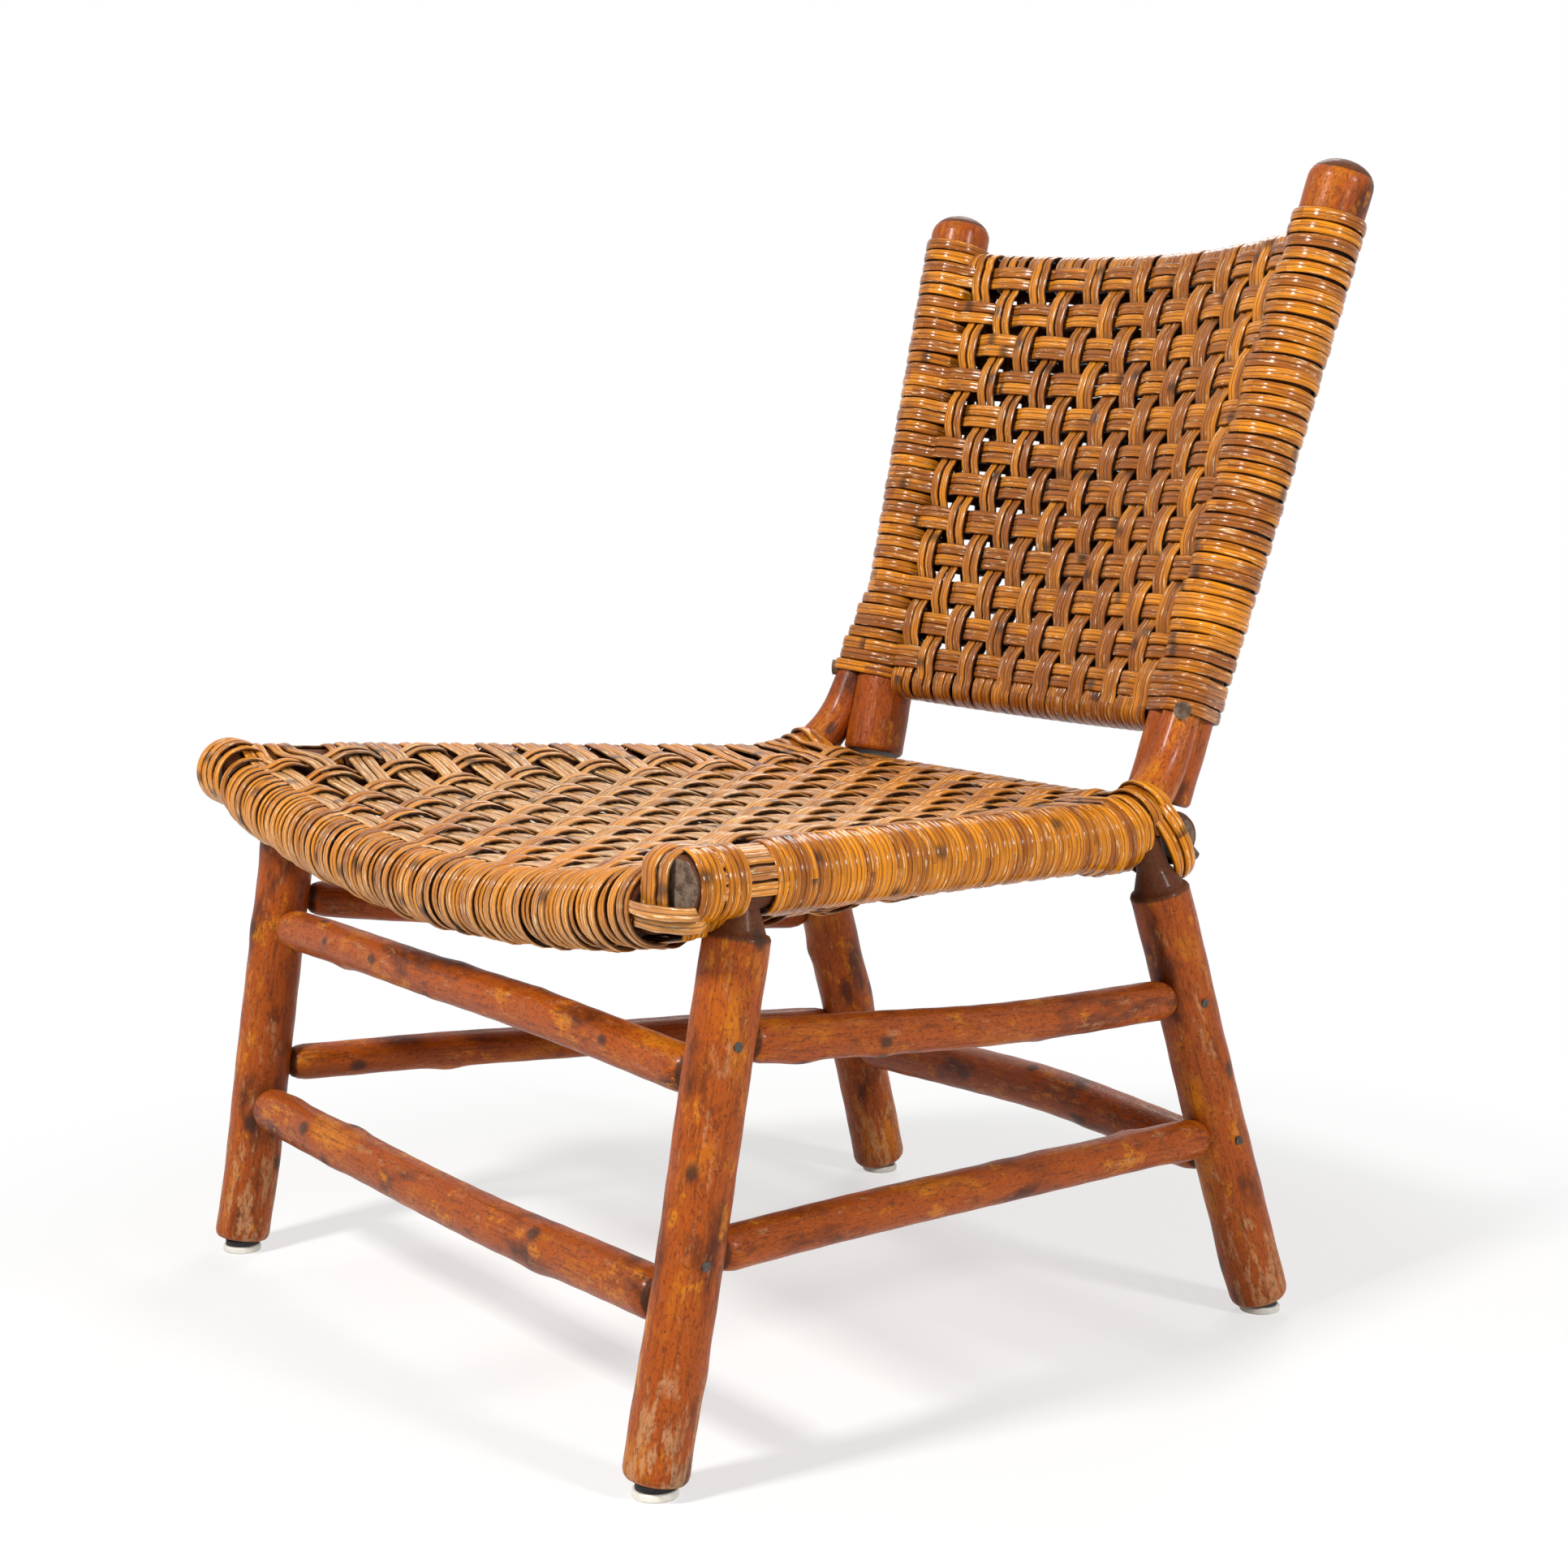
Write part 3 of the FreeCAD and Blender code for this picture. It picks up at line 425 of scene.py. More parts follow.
# Where rattan covers a pole, from and to. No rail is longer than a metre
SIDE_RAIL_COVER = (0.006, 0.45)
POST_COVER = (0.06, 0.405)
REAR_RAIL_COVER = (0.05, 0.40)
ALL_ALONG = (0, 1)
# BOTH_WHOLE darkens a whole rail: painted shade on rails that rattan covers.
BOTH_WHOLE = (1, 1)


def leaning(foot, lean, z, side):
    """Points of a leaning pole's axis: the foot plus the lean times the height."""
    z = np.asarray(z, float)
    return np.stack([side * (foot[0] + lean[0] * z), foot[1] + lean[1] * z, z], axis=-1)


def front_leg_at(z, side):
    """The front leg's axis at a height."""
    return leaning(poles().front_foot, poles().front_lean, z, side)


def rear_leg_at(z, side):
    """The rear leg's axis at a height."""
    return leaning(poles().rear_foot, poles().rear_lean, z, side)


def post_at(z, side):
    """The back post's axis at a height."""
    foot = poles().post_foot
    lean = poles().post_lean
    z = np.asarray(z, float)
    rise = z - foot[2]
    return np.stack([side * (foot[0] + lean[0] * rise), foot[1] + lean[1] * rise, z], axis=-1)


def lap_direction(side):
    """The level direction from a post's axis to the side rail's upright."""
    return np.array([LAP_DIRECTION[0] * side, LAP_DIRECTION[1], 0.0])


def of_side(pair, side):
    """The left or the right one of two values."""
    return pair[0] if side == 1 else pair[1]


def side_rail_path(side, trim=0.0):
    """The side rail's axis: a straight run, a circular bend about the knee, and a straight upright.
    Trim shortens its front end."""
    p = poles()
    front = np.array(p.side_rail_front) * (side, 1, 1)
    knee = post_at(p.knee[0], side) + lap_direction(side) * p.knee[1]
    tip = post_at(p.lap_top, side) + lap_direction(side) * p.upright_tip[1]
    run = unit(knee - front)
    rise = unit(tip - knee)
    bend = math.acos(float(run @ rise))
    reach = p.knee[2] * math.tan(bend / 2)
    start = knee - run * reach
    inward = unit(rise - run * (run @ rise))
    turn = np.linspace(0, bend, 24)[:, None]
    arc = start + p.knee[2] * (inward * (1 - np.cos(turn)) + run * np.sin(turn))
    front = front + run * trim
    straight = front + (start - front) * np.linspace(0, 1, PATH_POINTS)[:-1, None]
    upright = arc[-1] + (tip - arc[-1]) * np.linspace(0, 1, 30)[1:, None]
    return np.concatenate([straight, arc, upright])


def front_rail_at(x):
    """The front seat rail's height at x: a parabola that dips in the middle."""
    p = poles()
    return p.front_rail_z - p.front_dish * (1 - np.clip(np.abs(x) / p.front_rail_half, 0, 1) ** 2)


def make_leg(name, axis, side, dia, shoulder, seed):
    """A leg: rounded foot, straight run to the shoulder, then a slimmer neck and the tenon in the rail."""
    p = poles()
    tenon, neck, rise = p.leg_tenon
    bottom = p.foot_z
    path = axis(np.linspace(bottom, shoulder + rise, 40), side)
    slant = np.linalg.norm(path[-1] - path[0]) / (shoulder + rise - bottom)
    top = (shoulder - bottom) * slant
    r = dia / 2
    foot = [(0, r - 0.0045), (0.001, r - 0.0022), (0.003, r - 0.0007), (0.006, r)]
    rim = [(top - 0.002, r), (top, r - 0.0012), (top + 0.0006, r * 0.84)]
    peg = [(top + neck, tenon / 2), (top + rise * slant, tenon / 2)]
    pole(name, path, foot + rim + peg, seed, worn=(FOOT_WEAR, 0), stain_and_shade_reach=(0, rise * slant + JOINT_STAIN))


def make_stretcher(name, start, end, radii, dia, bow, seed):
    """A stretcher between two leg axes. It bows by a half sine, and each end narrows over a rounded nose
    to a tenon in its leg."""
    share = np.linspace(0, 1, PATH_POINTS)[:, None]
    path = start + (end - start) * share
    path[:, 2] += bow * np.sin(np.pi * share[:, 0])
    total = path_length(path)
    r = dia / 2
    slim = poles().stretcher_tenon / 2
    nose = [(-0.004, slim), (-0.0005, slim),
            (0.0, r * 0.66), (0.002, r * 0.80), (0.006, r * 0.93), (0.012, r)]
    first = [(radii[0] + at, size) for at, size in nose]
    last = [(total - radii[1] - at, size) for at, size in reversed(nose)]
    stations = [(0, slim), (radii[0] - 0.006, slim)] + first + last + [(total, slim)]
    pole(name, path, stations, seed, stain_and_shade_reach=[size + STRETCHER_STAIN for size in radii])


def make_side_rail(side_name, seed):
    """The bent side rail with its sawn front end, tapering along the upright that laps the post."""
    p = poles()
    side = SIDES[side_name]
    path = side_rail_path(side, of_side(p.side_rail_trim, side))
    total = path_length(path)
    r = p.side_rail_dia / 2
    slim = p.upright_tip[0] / 2
    front = [(0, r - 0.002), (0.0015, r - 0.0005), (0.005, r)]
    upright = [(total - UPRIGHT_TAPER, r), (total - 0.004, slim), (total, slim - 0.003)]
    # Painted shade: the rail is darkened from its front end to just past the wraps, so the gaps between the
    # strands look dark.
    pole(side_name + "_side_rail", path, front + upright, seed, stain_and_shade_reach=(SIDE_RAIL_COVER[1] + 0.01, 0),
         wrapped=SIDE_RAIL_COVER, crook=0.0006)


def make_post(side_name, seed):
    """A back post with a sawn foot and a domed top, whose radius there follows a quarter ellipse."""
    p = poles()
    side = SIDES[side_name]
    path = post_at(np.linspace(p.post_foot[2], of_side(p.post_tops, side), PATH_POINTS), side)
    total = np.linalg.norm(path[-1] - path[0])
    r = p.post_dia / 2
    rise = np.sin(np.linspace(0, np.pi / 2 - 0.06, 9))
    dome = np.stack([total - POST_DOME + POST_DOME * rise, r * np.sqrt(1 - rise ** 2)], axis=-1)
    stations = [(0, r - 0.0025), (0.001, r - 0.001), (0.003, r), (total - 0.03, r)] + dome.tolist()
    # The dome's dark tip is stain. The wrapped stretch is painted dark as shade between the strands.
    pole(side_name + "_back_post", path, stations, seed, stain_and_shade_reach=(0, POST_TOP_STAIN), wrapped=POST_COVER,
         crook=0.0008)


def make_front_rail():
    """The dished front seat rail. It stops short of the side rails' axes and is slim at its left end."""
    p = poles()
    x = np.linspace(-1, 1, PATH_POINTS) * (p.front_rail_half - FRONT_RAIL_SHORT)
    path = np.stack([x, np.full_like(x, p.front_rail_y), front_rail_at(x)], axis=-1)
    full = p.front_rail_dia / 2 - 0.001
    slim_length, slim = p.rail_whittle
    total = path_length(path)
    slim_start = total - slim_length
    stations = [(0, full), (slim_start - 0.005, full), (slim_start, slim), (total, slim)]
    # Painted shade: the whole rail is darkened, since rattan covers it, so the gaps between the strands look
    # dark.
    pole("front_seat_rail", path, stations, 31, stain_and_shade_reach=BOTH_WHOLE, wrapped=ALL_ALONG)


def make_cross_rails():
    """The straight rear seat rail, and the two back rails, which bow backward by a parabola."""
    p = poles()
    y, z, half = p.rear_rail
    x = np.linspace(-half, half, PATH_POINTS)
    path = np.stack([x, np.full_like(x, y), np.full_like(x, z)], axis=-1)
    ends = plain_ends(path, p.rear_rail_dia / 2 - 0.0005)
    # Painted shade: the whole rail is darkened under its rattan wraps.
    pole("rear_seat_rail", path, ends, 32, stain_and_shade_reach=BOTH_WHOLE, wrapped=REAR_RAIL_COVER)
    for seed, name, rail in ((33, "top_back_rail", p.top_rail), (34, "bottom_back_rail", p.bottom_rail)):
        dia, height, bow = rail
        x = np.linspace(-1, 1, PATH_POINTS) * post_at(height, 1)[0]
        path = back_point(x, np.full_like(x, height), bow * (1 - (x / x[-1]) ** 2))
        # Painted shade: the whole back rail is darkened under its rattan wraps.
        pole(name, path, plain_ends(path, dia / 2), seed, stain_and_shade_reach=BOTH_WHOLE, wrapped=ALL_ALONG)


def plain_ends(path, r):
    """A steady radius with a small round at both ends."""
    total = path_length(path)
    rounding = [(0, r - 0.004), (0.0015, r - 0.0015), (0.005, r)]
    return rounding + [(total - at, size) for at, size in reversed(rounding)]


# Rattan strands

BACK_OUT = unit((0.0, 1.0, -BACK_SLOPE))
BACK_RISE = unit((0.0, BACK_SLOPE, 1.0))
ACROSS = np.array([1.0, 0.0, 0.0])
FORWARD = np.array([0.0, -1.0, 0.0])
UP = np.array([0.0, 0.0, 1.0])

# A strand's section in shares of its half width and half thickness: a grooved crown and a flat back
STRAND_SECTION = np.array([
    (0.98, 0.15), (0.87, 0.62), (0.56, 0.92), (0.18, 1.0), (0.0, 0.84), (-0.18, 1.0), (-0.56, 0.92),
    (-0.87, 0.62), (-0.98, 0.15), (-0.96, -0.45), (-0.6, -0.85), (0.0, -0.9), (0.6, -0.85), (0.96, -0.45)])

# Room between a strand and the pole that it goes round
POST_CLEAR = 0.0002
SIDE_CLEAR = 0.0003
SEAT_CLEAR = 0.0006

# How many points the long runs and the turns of strands have
BACK_POINTS = 84
ROW_POINTS = 88
PAIR_POINTS = 82
CORNER_POINTS = 80
TURN_POINTS = 14
RING_POINTS = 32

# Share by which the width of a strand varies
UNEVEN_WIDTH = 0.05


def back_point(x, z, depth):
    """A point of the back: over the posts' plane at height z, then a depth square to that plane."""
    x, z, depth = np.broadcast_arrays(x, z, depth)
    base = post_at(z, 1)
    base[..., 0] = x
    return base + depth[..., None] * BACK_OUT


def post_half(z):
    """Half the distance between the posts' axes at a height."""
    return post_at(z, 1)[..., 0]


def back_bow(x, z):
    """How far the back bows backward: a parabola across, growing from the bottom rail to the top rail."""
    p = poles()
    share = (z - p.bottom_rail[1]) / (p.top_rail[1] - p.bottom_rail[1])
    return mix(p.bottom_rail[2], p.top_rail[2], share) * (1 - np.clip(np.abs(x) / post_half(z), 0, 1) ** 2)


def over_under(phase, flat=1.7):
    """A flattened cosine that is 1 at even whole numbers and -1 at odd ones."""
    return np.tanh(flat * np.cos(np.pi * phase)) / math.tanh(flat)


def twin_drift(rng, amount, distance, reach):
    """A slow wander that the two strands of each pair share, with a little of their own."""
    shared = np.repeat(drift(rng, amount, distance, reach, 3), 2, axis=0)
    return shared + drift(rng, 2 * amount, distance, 0.25 * reach, 3)


def wrap_radius(dia, clear):
    """Radius of a strand's middle line round a pole."""
    return dia / 2 + rattan().strand[1] / 2 + clear


def full_turn(points):
    """Angles once round, without the last."""
    return np.linspace(0, 2 * np.pi, points, endpoint=False)


def sweep(paths, axis, width, thick, closed):
    """Carries the strand section along paths of shape (strands, points, 3). The section's width lies along
    the axis that a path turns about, and its crown faces outward: along the path crossed with the axis."""
    if closed:
        ahead = np.roll(paths, -1, axis=1) - np.roll(paths, 1, axis=1)
    else:
        ahead = np.gradient(paths, axis=1)
    ahead = unit(ahead)
    out = unit(np.cross(ahead, np.broadcast_to(axis, paths.shape)))
    across = np.cross(out, ahead)
    wide = np.broadcast_to(width, paths.shape[:2])[..., None, None] / 2 * STRAND_SECTION[:, :1]
    high = np.broadcast_to(thick, paths.shape[:2])[..., None, None] / 2 * STRAND_SECTION[:, 1:]
    return paths[:, :, None] + across[:, :, None] * wide + out[:, :, None] * high


def lay(name, bundles, node_names):
    """Joins bundles of strands into one piece, with a UV map of the share across and the metres along
    a strand."""
    columns = len(STRAND_SECTION)
    across = (np.append(STRAND_SECTION[:, 0], STRAND_SECTION[0, 0]) + 1) / 2
    # Painted shade: faces on a strand's flat back and lower sides get an inner value that the material
    # darkens, as shade falls there against the poles and inside the weave.
    inside = np.clip(0.35 - 1.2 * STRAND_SECTION[:, 1], 0, 1)
    points, quads, caps, uvs, tints, wears, inner_shades = [], [], [], [], [], [], []
    offset = 0
    for strands_of in bundles:
        paths = strands_of["paths"]
        closed = strands_of["closed"]
        strands, rows = paths.shape[:2]
        solid = sweep(paths, strands_of["axis"], strands_of["width"], strands_of["thick"], closed)
        points.append(solid.reshape(-1, 3))
        quads.append(grid_faces(strands, rows, columns, closed) + offset)
        loop = np.concatenate([paths, paths[:, :1]], axis=1) if closed else paths
        steps = np.linalg.norm(np.diff(loop, axis=1), axis=2)
        gone = np.concatenate([np.zeros((strands, 1)), np.cumsum(steps, axis=1)], axis=1)
        v0, v1 = (gone[:, :-1, None] * np.ones(columns), gone[:, 1:, None] * np.ones(columns))
        u0, u1 = (np.broadcast_to(across[:-1], v0.shape), np.broadcast_to(across[1:], v0.shape))
        corners = [np.stack(pair, axis=-1) for pair in ((u0, v0), (u1, v0), (u1, v1), (u0, v1))]
        uvs.append(np.stack(corners, axis=-2).reshape(-1, 4, 2))
        tints.append(np.repeat(strands_of["tint"], rows * columns))
        wears.append(np.repeat(np.broadcast_to(strands_of["wear"], (strands, rows)).ravel(), columns))
        inner_shades.append(np.tile(inside, strands * rows))
        if not closed:
            first = offset + np.arange(strands)[:, None] * rows * columns
            ring = np.arange(columns)
            caps.append(first + ring[::-1])
            caps.append(first + (rows - 1) * columns + ring)
        offset += strands * rows * columns
    values = {"tint": np.concatenate(tints), "wear": np.concatenate(wears), "inner": np.concatenate(inner_shades)}
    piece = add_mesh(
        name, np.concatenate(points), np.concatenate(quads), np.concatenate(caps) if caps else None,
        np.concatenate(uvs), values, (bpy.data.materials["rattan_peel"],))
    if node_names:
        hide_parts(*node_names)


def bundle(paths, axis, rng, wear, closed=True, width=None, thick=None, tone=(0.35, 1.0)):
    """A set of strands with a random tint each, from browner to yellower in a range, and uneven widths."""
    wide, high = rattan().strand
    paths = np.asarray(paths, float)
    strands, rows = paths.shape[:2]
    around = np.linspace(0, 2 * np.pi, rows)
    waves = rng.integers(2, 6, (strands, 1))
    uneven = 1 + UNEVEN_WIDTH * np.sin(around * waves + rng.uniform(0, 6, (strands, 1)))
    return {
        "paths": paths, "axis": axis, "closed": closed, "wear": wear, "tint": rng.uniform(*tone, strands),
        "width": (wide if width is None else width) * uneven, "thick": high if thick is None else thick}


def twin_numbers(amount):
    """Pair numbers and sides for strands laid two by two: 0, 0, 1, 1 and so on, with -1, 1, -1, 1."""
    return np.repeat(np.arange(amount), 2), np.tile([-1.0, 1.0], amount)


def hull_ring(centers, radii, start, stop, steps):
    """Points of a strand drawn tight round several circles: at each angle, the circle that reaches furthest.
    Centers has shape (rows, circles, 2) and radii (rows, circles)."""
    angle = np.linspace(start, stop, steps)
    facing = np.stack([np.cos(angle), np.sin(angle)], axis=-1)
    reach = np.einsum("rcd,sd->rcs", centers, facing) + radii[..., None]
    best = np.argmax(reach, axis=1)
    rows = np.arange(len(centers))[:, None]
    return centers[rows, best] + radii[rows, best][..., None] * facing


# Weave of the back

# Half sizes of the turns round the back rails, and the wander of rows and columns, in metres
POST_BLEND = 0.003
COLUMN_TURN = 0.0142
SPACER_DEPTH = 0.0152
SPACER_RISE = 0.0140
BACK_WANDER = (0.0015, 0.0016)

# Shares of the look: rubbed from 0 to 1, and tints from brown to yellow
BACK_WEAR = 0.1
BACK_TONE = (0.0, 0.65)


def row_pitch():
    """Height from one level pair to the next."""
    r = rattan()
    return (r.back_row_ends[1] - r.back_row_ends[0]) / (r.back_rows - 1)


def post_wrap():
    """Radius of a strand's middle line round a post."""
    return wrap_radius(poles().post_dia, POST_CLEAR)


def column_x(number, z):
    """Where a column crosses a height: spread between the posts, with the gaps closing towards the left
    post, as t + drift (1 - t^2) for t from -1 to 1. The right post's face is at number 0."""
    r = rattan()
    t = 2 * number / (r.back_columns - 1) - 1
    right, left = r.column_insets
    reach = post_half(z) - (right + left) / 2
    return (right - left) / 2 + reach * (t + r.column_drift * (1 - t * t))


def column_number(x, z):
    """The number that column_x would need for a place: the root of its quadratic."""
    r = rattan()
    right, left = r.column_insets
    k = r.column_drift
    spot = (x - (right - left) / 2) / (post_half(z) - (right + left) / 2)
    t = (1 - np.sqrt(np.maximum(1 - 4 * k * (spot - k), 0))) / (2 * k)
    return (t + 1) / 2 * (r.back_columns - 1)


def back_layers(x, z, swings, calm=1.0):
    """Depths of the front and the rear layer: the bowed surfaces, carried round a post where one is nearer,
    plus how far the strand swings over its neighbours in each layer, times a share for calm places."""
    r = rattan()
    beside = post_half(z) - np.abs(x)
    wrap = post_wrap()
    round_post = np.where(beside < wrap, np.sqrt(np.maximum(wrap ** 2 - beside ** 2, 0)), -1.0)
    bow = back_bow(x, z)
    front = -soft_max(r.back_half - bow, round_post, POST_BLEND) - swings[0] * calm * r.wave
    rear = soft_max(r.back_half + bow, round_post, POST_BLEND) + swings[1] * calm * r.wave
    return front, rear


def back_rows():
    """Level strands of the back: across the front layer over and under the columns, tight round a post,
    back across the rear layer at nearly the same height, and round the other post."""
    r = rattan()
    rng = np.random.default_rng(41)
    number, twin = twin_numbers(r.back_rows)
    parity = ((-1.0) ** number)[:, None]
    heights = r.back_row_ends[0] + number * row_pitch()
    share = np.linspace(-1, 1, BACK_POINTS)
    half = post_half(heights)[:, None]
    x = half * share
    level = np.broadcast_to(heights[:, None], x.shape)
    phase = column_number(x, level)
    swings = (-over_under(phase) * parity, -over_under(phase - r.rear_shift) * parity)
    front, rear = back_layers(x, level, swings, ease(half - np.abs(x), 0.004, 0.016))
    near = ease(half - np.abs(x), 0.012, 0.04)
    beside = twin * r.back_pair * BACK_RISE[2]
    sway = twin_drift(rng, r.back_rows, share * 0.21, BACK_WANDER[0]) * near
    climb = r.rear_lift * row_pitch()
    turn = post_turn(heights, post_wrap())
    tilt = rng.normal(0, 0.0007, (len(heights), 1))
    gone = np.clip(turn[..., 1] / post_wrap() / 2 + 0.5, 0, 1)
    turn_z = (heights + beside)[:, None] + climb * gone + tilt * np.sin(np.pi * gone)
    lift = level + beside[:, None] + sway
    paths = np.concatenate([
        back_point(x, lift, front),
        back_point(turn[..., 0], turn_z, turn[..., 1]),
        back_point(x[:, ::-1], lift + climb, rear[:, ::-1]),
        back_point(-turn[:, ::-1, 0], turn_z[:, ::-1], turn[:, ::-1, 1])], axis=1)
    return bundle(paths, BACK_RISE, rng, BACK_WEAR, width=r.back_strand, tone=BACK_TONE)


def post_turn(heights, wrap):
    """The outer half of a strand's way round the left post and the rail upright that laps it,
    from front to rear, as x and depth."""
    p = poles()
    half = post_half(heights)
    share = np.clip((heights - p.knee[0]) / (p.lap_top - p.knee[0]), 0, 1)
    reach = mix(p.knee[1], p.upright_tip[1], share)
    slim = mix(p.side_rail_dia, p.upright_tip[0], share) / 2 + wrap - p.post_dia / 2
    slim = slim * (1 - ease(heights, p.lap_top - 0.01, p.lap_top + 0.012))
    offset = lap_direction(1) * reach[:, None]
    centers = np.stack([
        np.stack([half, np.zeros_like(half)], axis=-1),
        np.stack([half + offset[:, 0], offset[:, 1] * BACK_OUT[1]], axis=-1)], axis=1)
    radii = np.stack([np.full_like(half, wrap), slim], axis=1)
    return hull_ring(centers, radii, -np.pi / 2 + 0.05, np.pi / 2 - 0.05, 22)


def back_columns():
    """Upright strands of the back: up the front layer, over the top rail to a place part of a pitch aside,
    down the rear layer, and back under the bottom rail. Their numbers start at 1."""
    r = rattan()
    p = poles()
    rng = np.random.default_rng(42)
    number, twin = twin_numbers(r.back_columns - 1)
    number = number + 1
    parity = ((-1.0) ** number)[:, None]
    low, high = p.bottom_rail[1], p.top_rail[1]
    z = np.linspace(low, high, BACK_POINTS)
    sway = twin_drift(rng, r.back_columns - 1, z, BACK_WANDER[1])
    pitch = 2 * post_half(z) / r.back_columns
    beside = twin[:, None] * np.minimum(pitch / 4 + 0.0002, r.back_pair)
    x = column_x(number[:, None], z) + beside + sway
    rear_x = column_x(number[:, None] + r.rear_shift, z) + beside - sway
    level = np.broadcast_to(z, x.shape)
    phase = (z - r.back_row_ends[0]) / row_pitch()
    quiet = ease(z, low + 0.002, low + 0.014) * ease(high + 0.012 - z, 0, 0.02)
    swings = (over_under(phase) * parity * quiet, over_under(phase - r.rear_lift) * parity * quiet)
    front = back_layers(x, level, swings)[0]
    rear = back_layers(rear_x, level, swings)[1]
    turn = np.linspace(0, np.pi, TURN_POINTS)[1:-1]
    reach = COLUMN_TURN * np.sin(turn) * BACK_RISE[2]
    gone = turn / np.pi
    deep = (1 - np.cos(turn)) / 2
    over = mix(front[:, -1:], rear[:, -1:], deep)
    under = mix(rear[:, :1], front[:, :1], deep)
    paths = np.concatenate([
        back_point(x, level, front),
        back_point(mix(x[:, -1:], rear_x[:, -1:], gone), high + reach, over),
        back_point(rear_x[:, ::-1], level[:, ::-1], rear[:, ::-1]),
        back_point(mix(rear_x[:, :1], x[:, :1], gone), low - reach, under)], axis=1)
    return bundle(paths, -ACROSS, rng, BACK_WEAR, width=r.back_strand, tone=BACK_TONE)


def post_spacers():
    """Strands wound round each post between the rows, drawn tight round the post and the lapped upright."""
    r = rattan()
    rng = np.random.default_rng(43)
    heights = r.back_row_ends[0] + (np.arange(-1, r.back_rows) + 0.5) * row_pitch()
    heights = np.append(heights, heights[-1] + r.back_strand)
    wrap = post_wrap()
    outer = post_turn(heights, wrap)
    angle = np.linspace(np.pi / 2, 3 * np.pi / 2, 18)[1:-1]
    half = post_half(heights)[:, None]
    inner = np.stack(np.broadcast_arrays(half + wrap * np.cos(angle), wrap * np.sin(angle)), axis=-1)
    ring = np.concatenate([outer, inner], axis=1)
    gone = np.clip(ring[..., 1] / wrap / 2 + 0.5, 0, 1)
    rings = []
    for side in SIDES.values():
        tilt = rng.normal(0, 0.0009, (len(heights), 1))
        level = heights[:, None] + (r.rear_lift * row_pitch() + tilt) * gone
        rings.append(back_point(side * ring[:, ::side, 0], level[:, ::side], ring[:, ::side, 1]))
    return bundle(np.concatenate(rings), BACK_RISE, rng, 0.05, width=r.back_strand * 0.98, tone=(0.1, 0.8))


def rail_spacers():
    """Strands wound round the top and bottom back rails between the columns: leaning ellipses about
    the rail."""
    r = rattan()
    rng = np.random.default_rng(44)
    turn = full_turn(30)
    sets = []
    for height in (poles().top_rail[1], poles().bottom_rail[1]):
        number = np.arange(r.back_columns - 1)[:, None] + 0.5 + r.rear_shift * (1 - np.cos(turn)) / 2
        x = column_x(number, height)
        depth = back_bow(x, height) - SPACER_DEPTH * np.cos(turn)
        gap = 2 * float(post_half(height)) / r.back_columns - 2 * r.back_strand
        ring = back_point(x, height + SPACER_RISE * np.sin(turn) * BACK_RISE[2], depth)
        sets.append(bundle(ring, -ACROSS, rng, 0.2, width=gap, tone=(0.0, 0.6)))
    return sets


# Weave of the seat

# Sizes in metres, with the stretches of Y or the reaches over which they come in
REAR_LEAN = 0.010
REAR_LEAN_SPAN = (0.02, 0.14)
REAR_SLACK = 0.010
REAR_SLACK_SPAN = (0.05, 0.125)
TENON_PUSH = 0.0137
TENON_PUSH_REACH = 0.036
SEAT_WANDER = 0.0018
FRONT_LEAN = 0.0014
FRONT_SLACK = 0.004
CORNER_DIP = 0.012
SPACER_APART = 0.0027
LENGTHWISE_THICK = 0.0024
LENGTHWISE_SINK = 0.0014
LENGTHWISE_END = -0.228
CORNER_BAND_Z = 0.3456
LOOP_STEP = 0.0095

# Shares: how much narrower a strand is at the front rail, and how rubbed strands are from 0 to 1
FRONT_SQUEEZE = 0.20
FRONT_SQUEEZE_REACH = 0.03
LITTLE_RUBBED = 0.75
LITTLE_RUBBED_SPAN = (-0.08, 0.08)
QUIET_WEAR = 0.1
RAIL_WEAR = 0.04
ROW_WEAR = (0.05, 0.75)
PAIR_WEAR = 0.5
CORNER_WEAR = 0.4
FRONT_WEAR = (0.05, 0.7)


def seat_share(y):
    """How far a point lies from the front rail's axis to the rear rail's."""
    p = poles()
    return (y - p.front_rail_y) / (p.rear_rail[0] - p.front_rail_y)


def seat_closing(y):
    """Share of the front pitch that is left between the front-to-rear pairs at y."""
    return 1 - rattan().seat_taper * np.clip(seat_share(y), 0, 1)


def seat_layer(x, y, layer):
    """Height of the seat's upper (layer 1) or lower (layer -1) weave: straight lines from the dished front
    rail to the level rear rail, drawn up or down to the side rails over a hand's width beside them."""
    p = poles()
    rail_x, rail_z = side_rail_near(y)
    front = front_rail_at(x / seat_closing(y)) + layer * wrap_radius(p.front_rail_dia, SEAT_CLEAR)
    rear = p.rear_rail[1] + layer * wrap_radius(p.rear_rail_dia, SEAT_CLEAR)
    side = rail_z + layer * wrap_radius(p.side_rail_dia, SEAT_CLEAR)
    beside = 1 - ease(rail_x - np.abs(x), 0.0, 0.09)
    clear = ease(y, p.front_rail_y, p.front_rail_y + 0.05) * ease(p.rear_rail[0] - y, 0.0, 0.06)
    return mix(mix(front, rear, np.clip(seat_share(y), 0, 1)), side, beside * clear)


def side_rail_near(y):
    """The left side rail's axis, as x and height, at a distance from the front."""
    path = side_rail_path(1)
    return np.interp(y, path[:, 1], path[:, 0]), np.interp(y, path[:, 1], path[:, 2])


def side_wrap():
    """Radius of a strand's middle line round a side rail."""
    return wrap_radius(poles().side_rail_dia, SIDE_CLEAR)


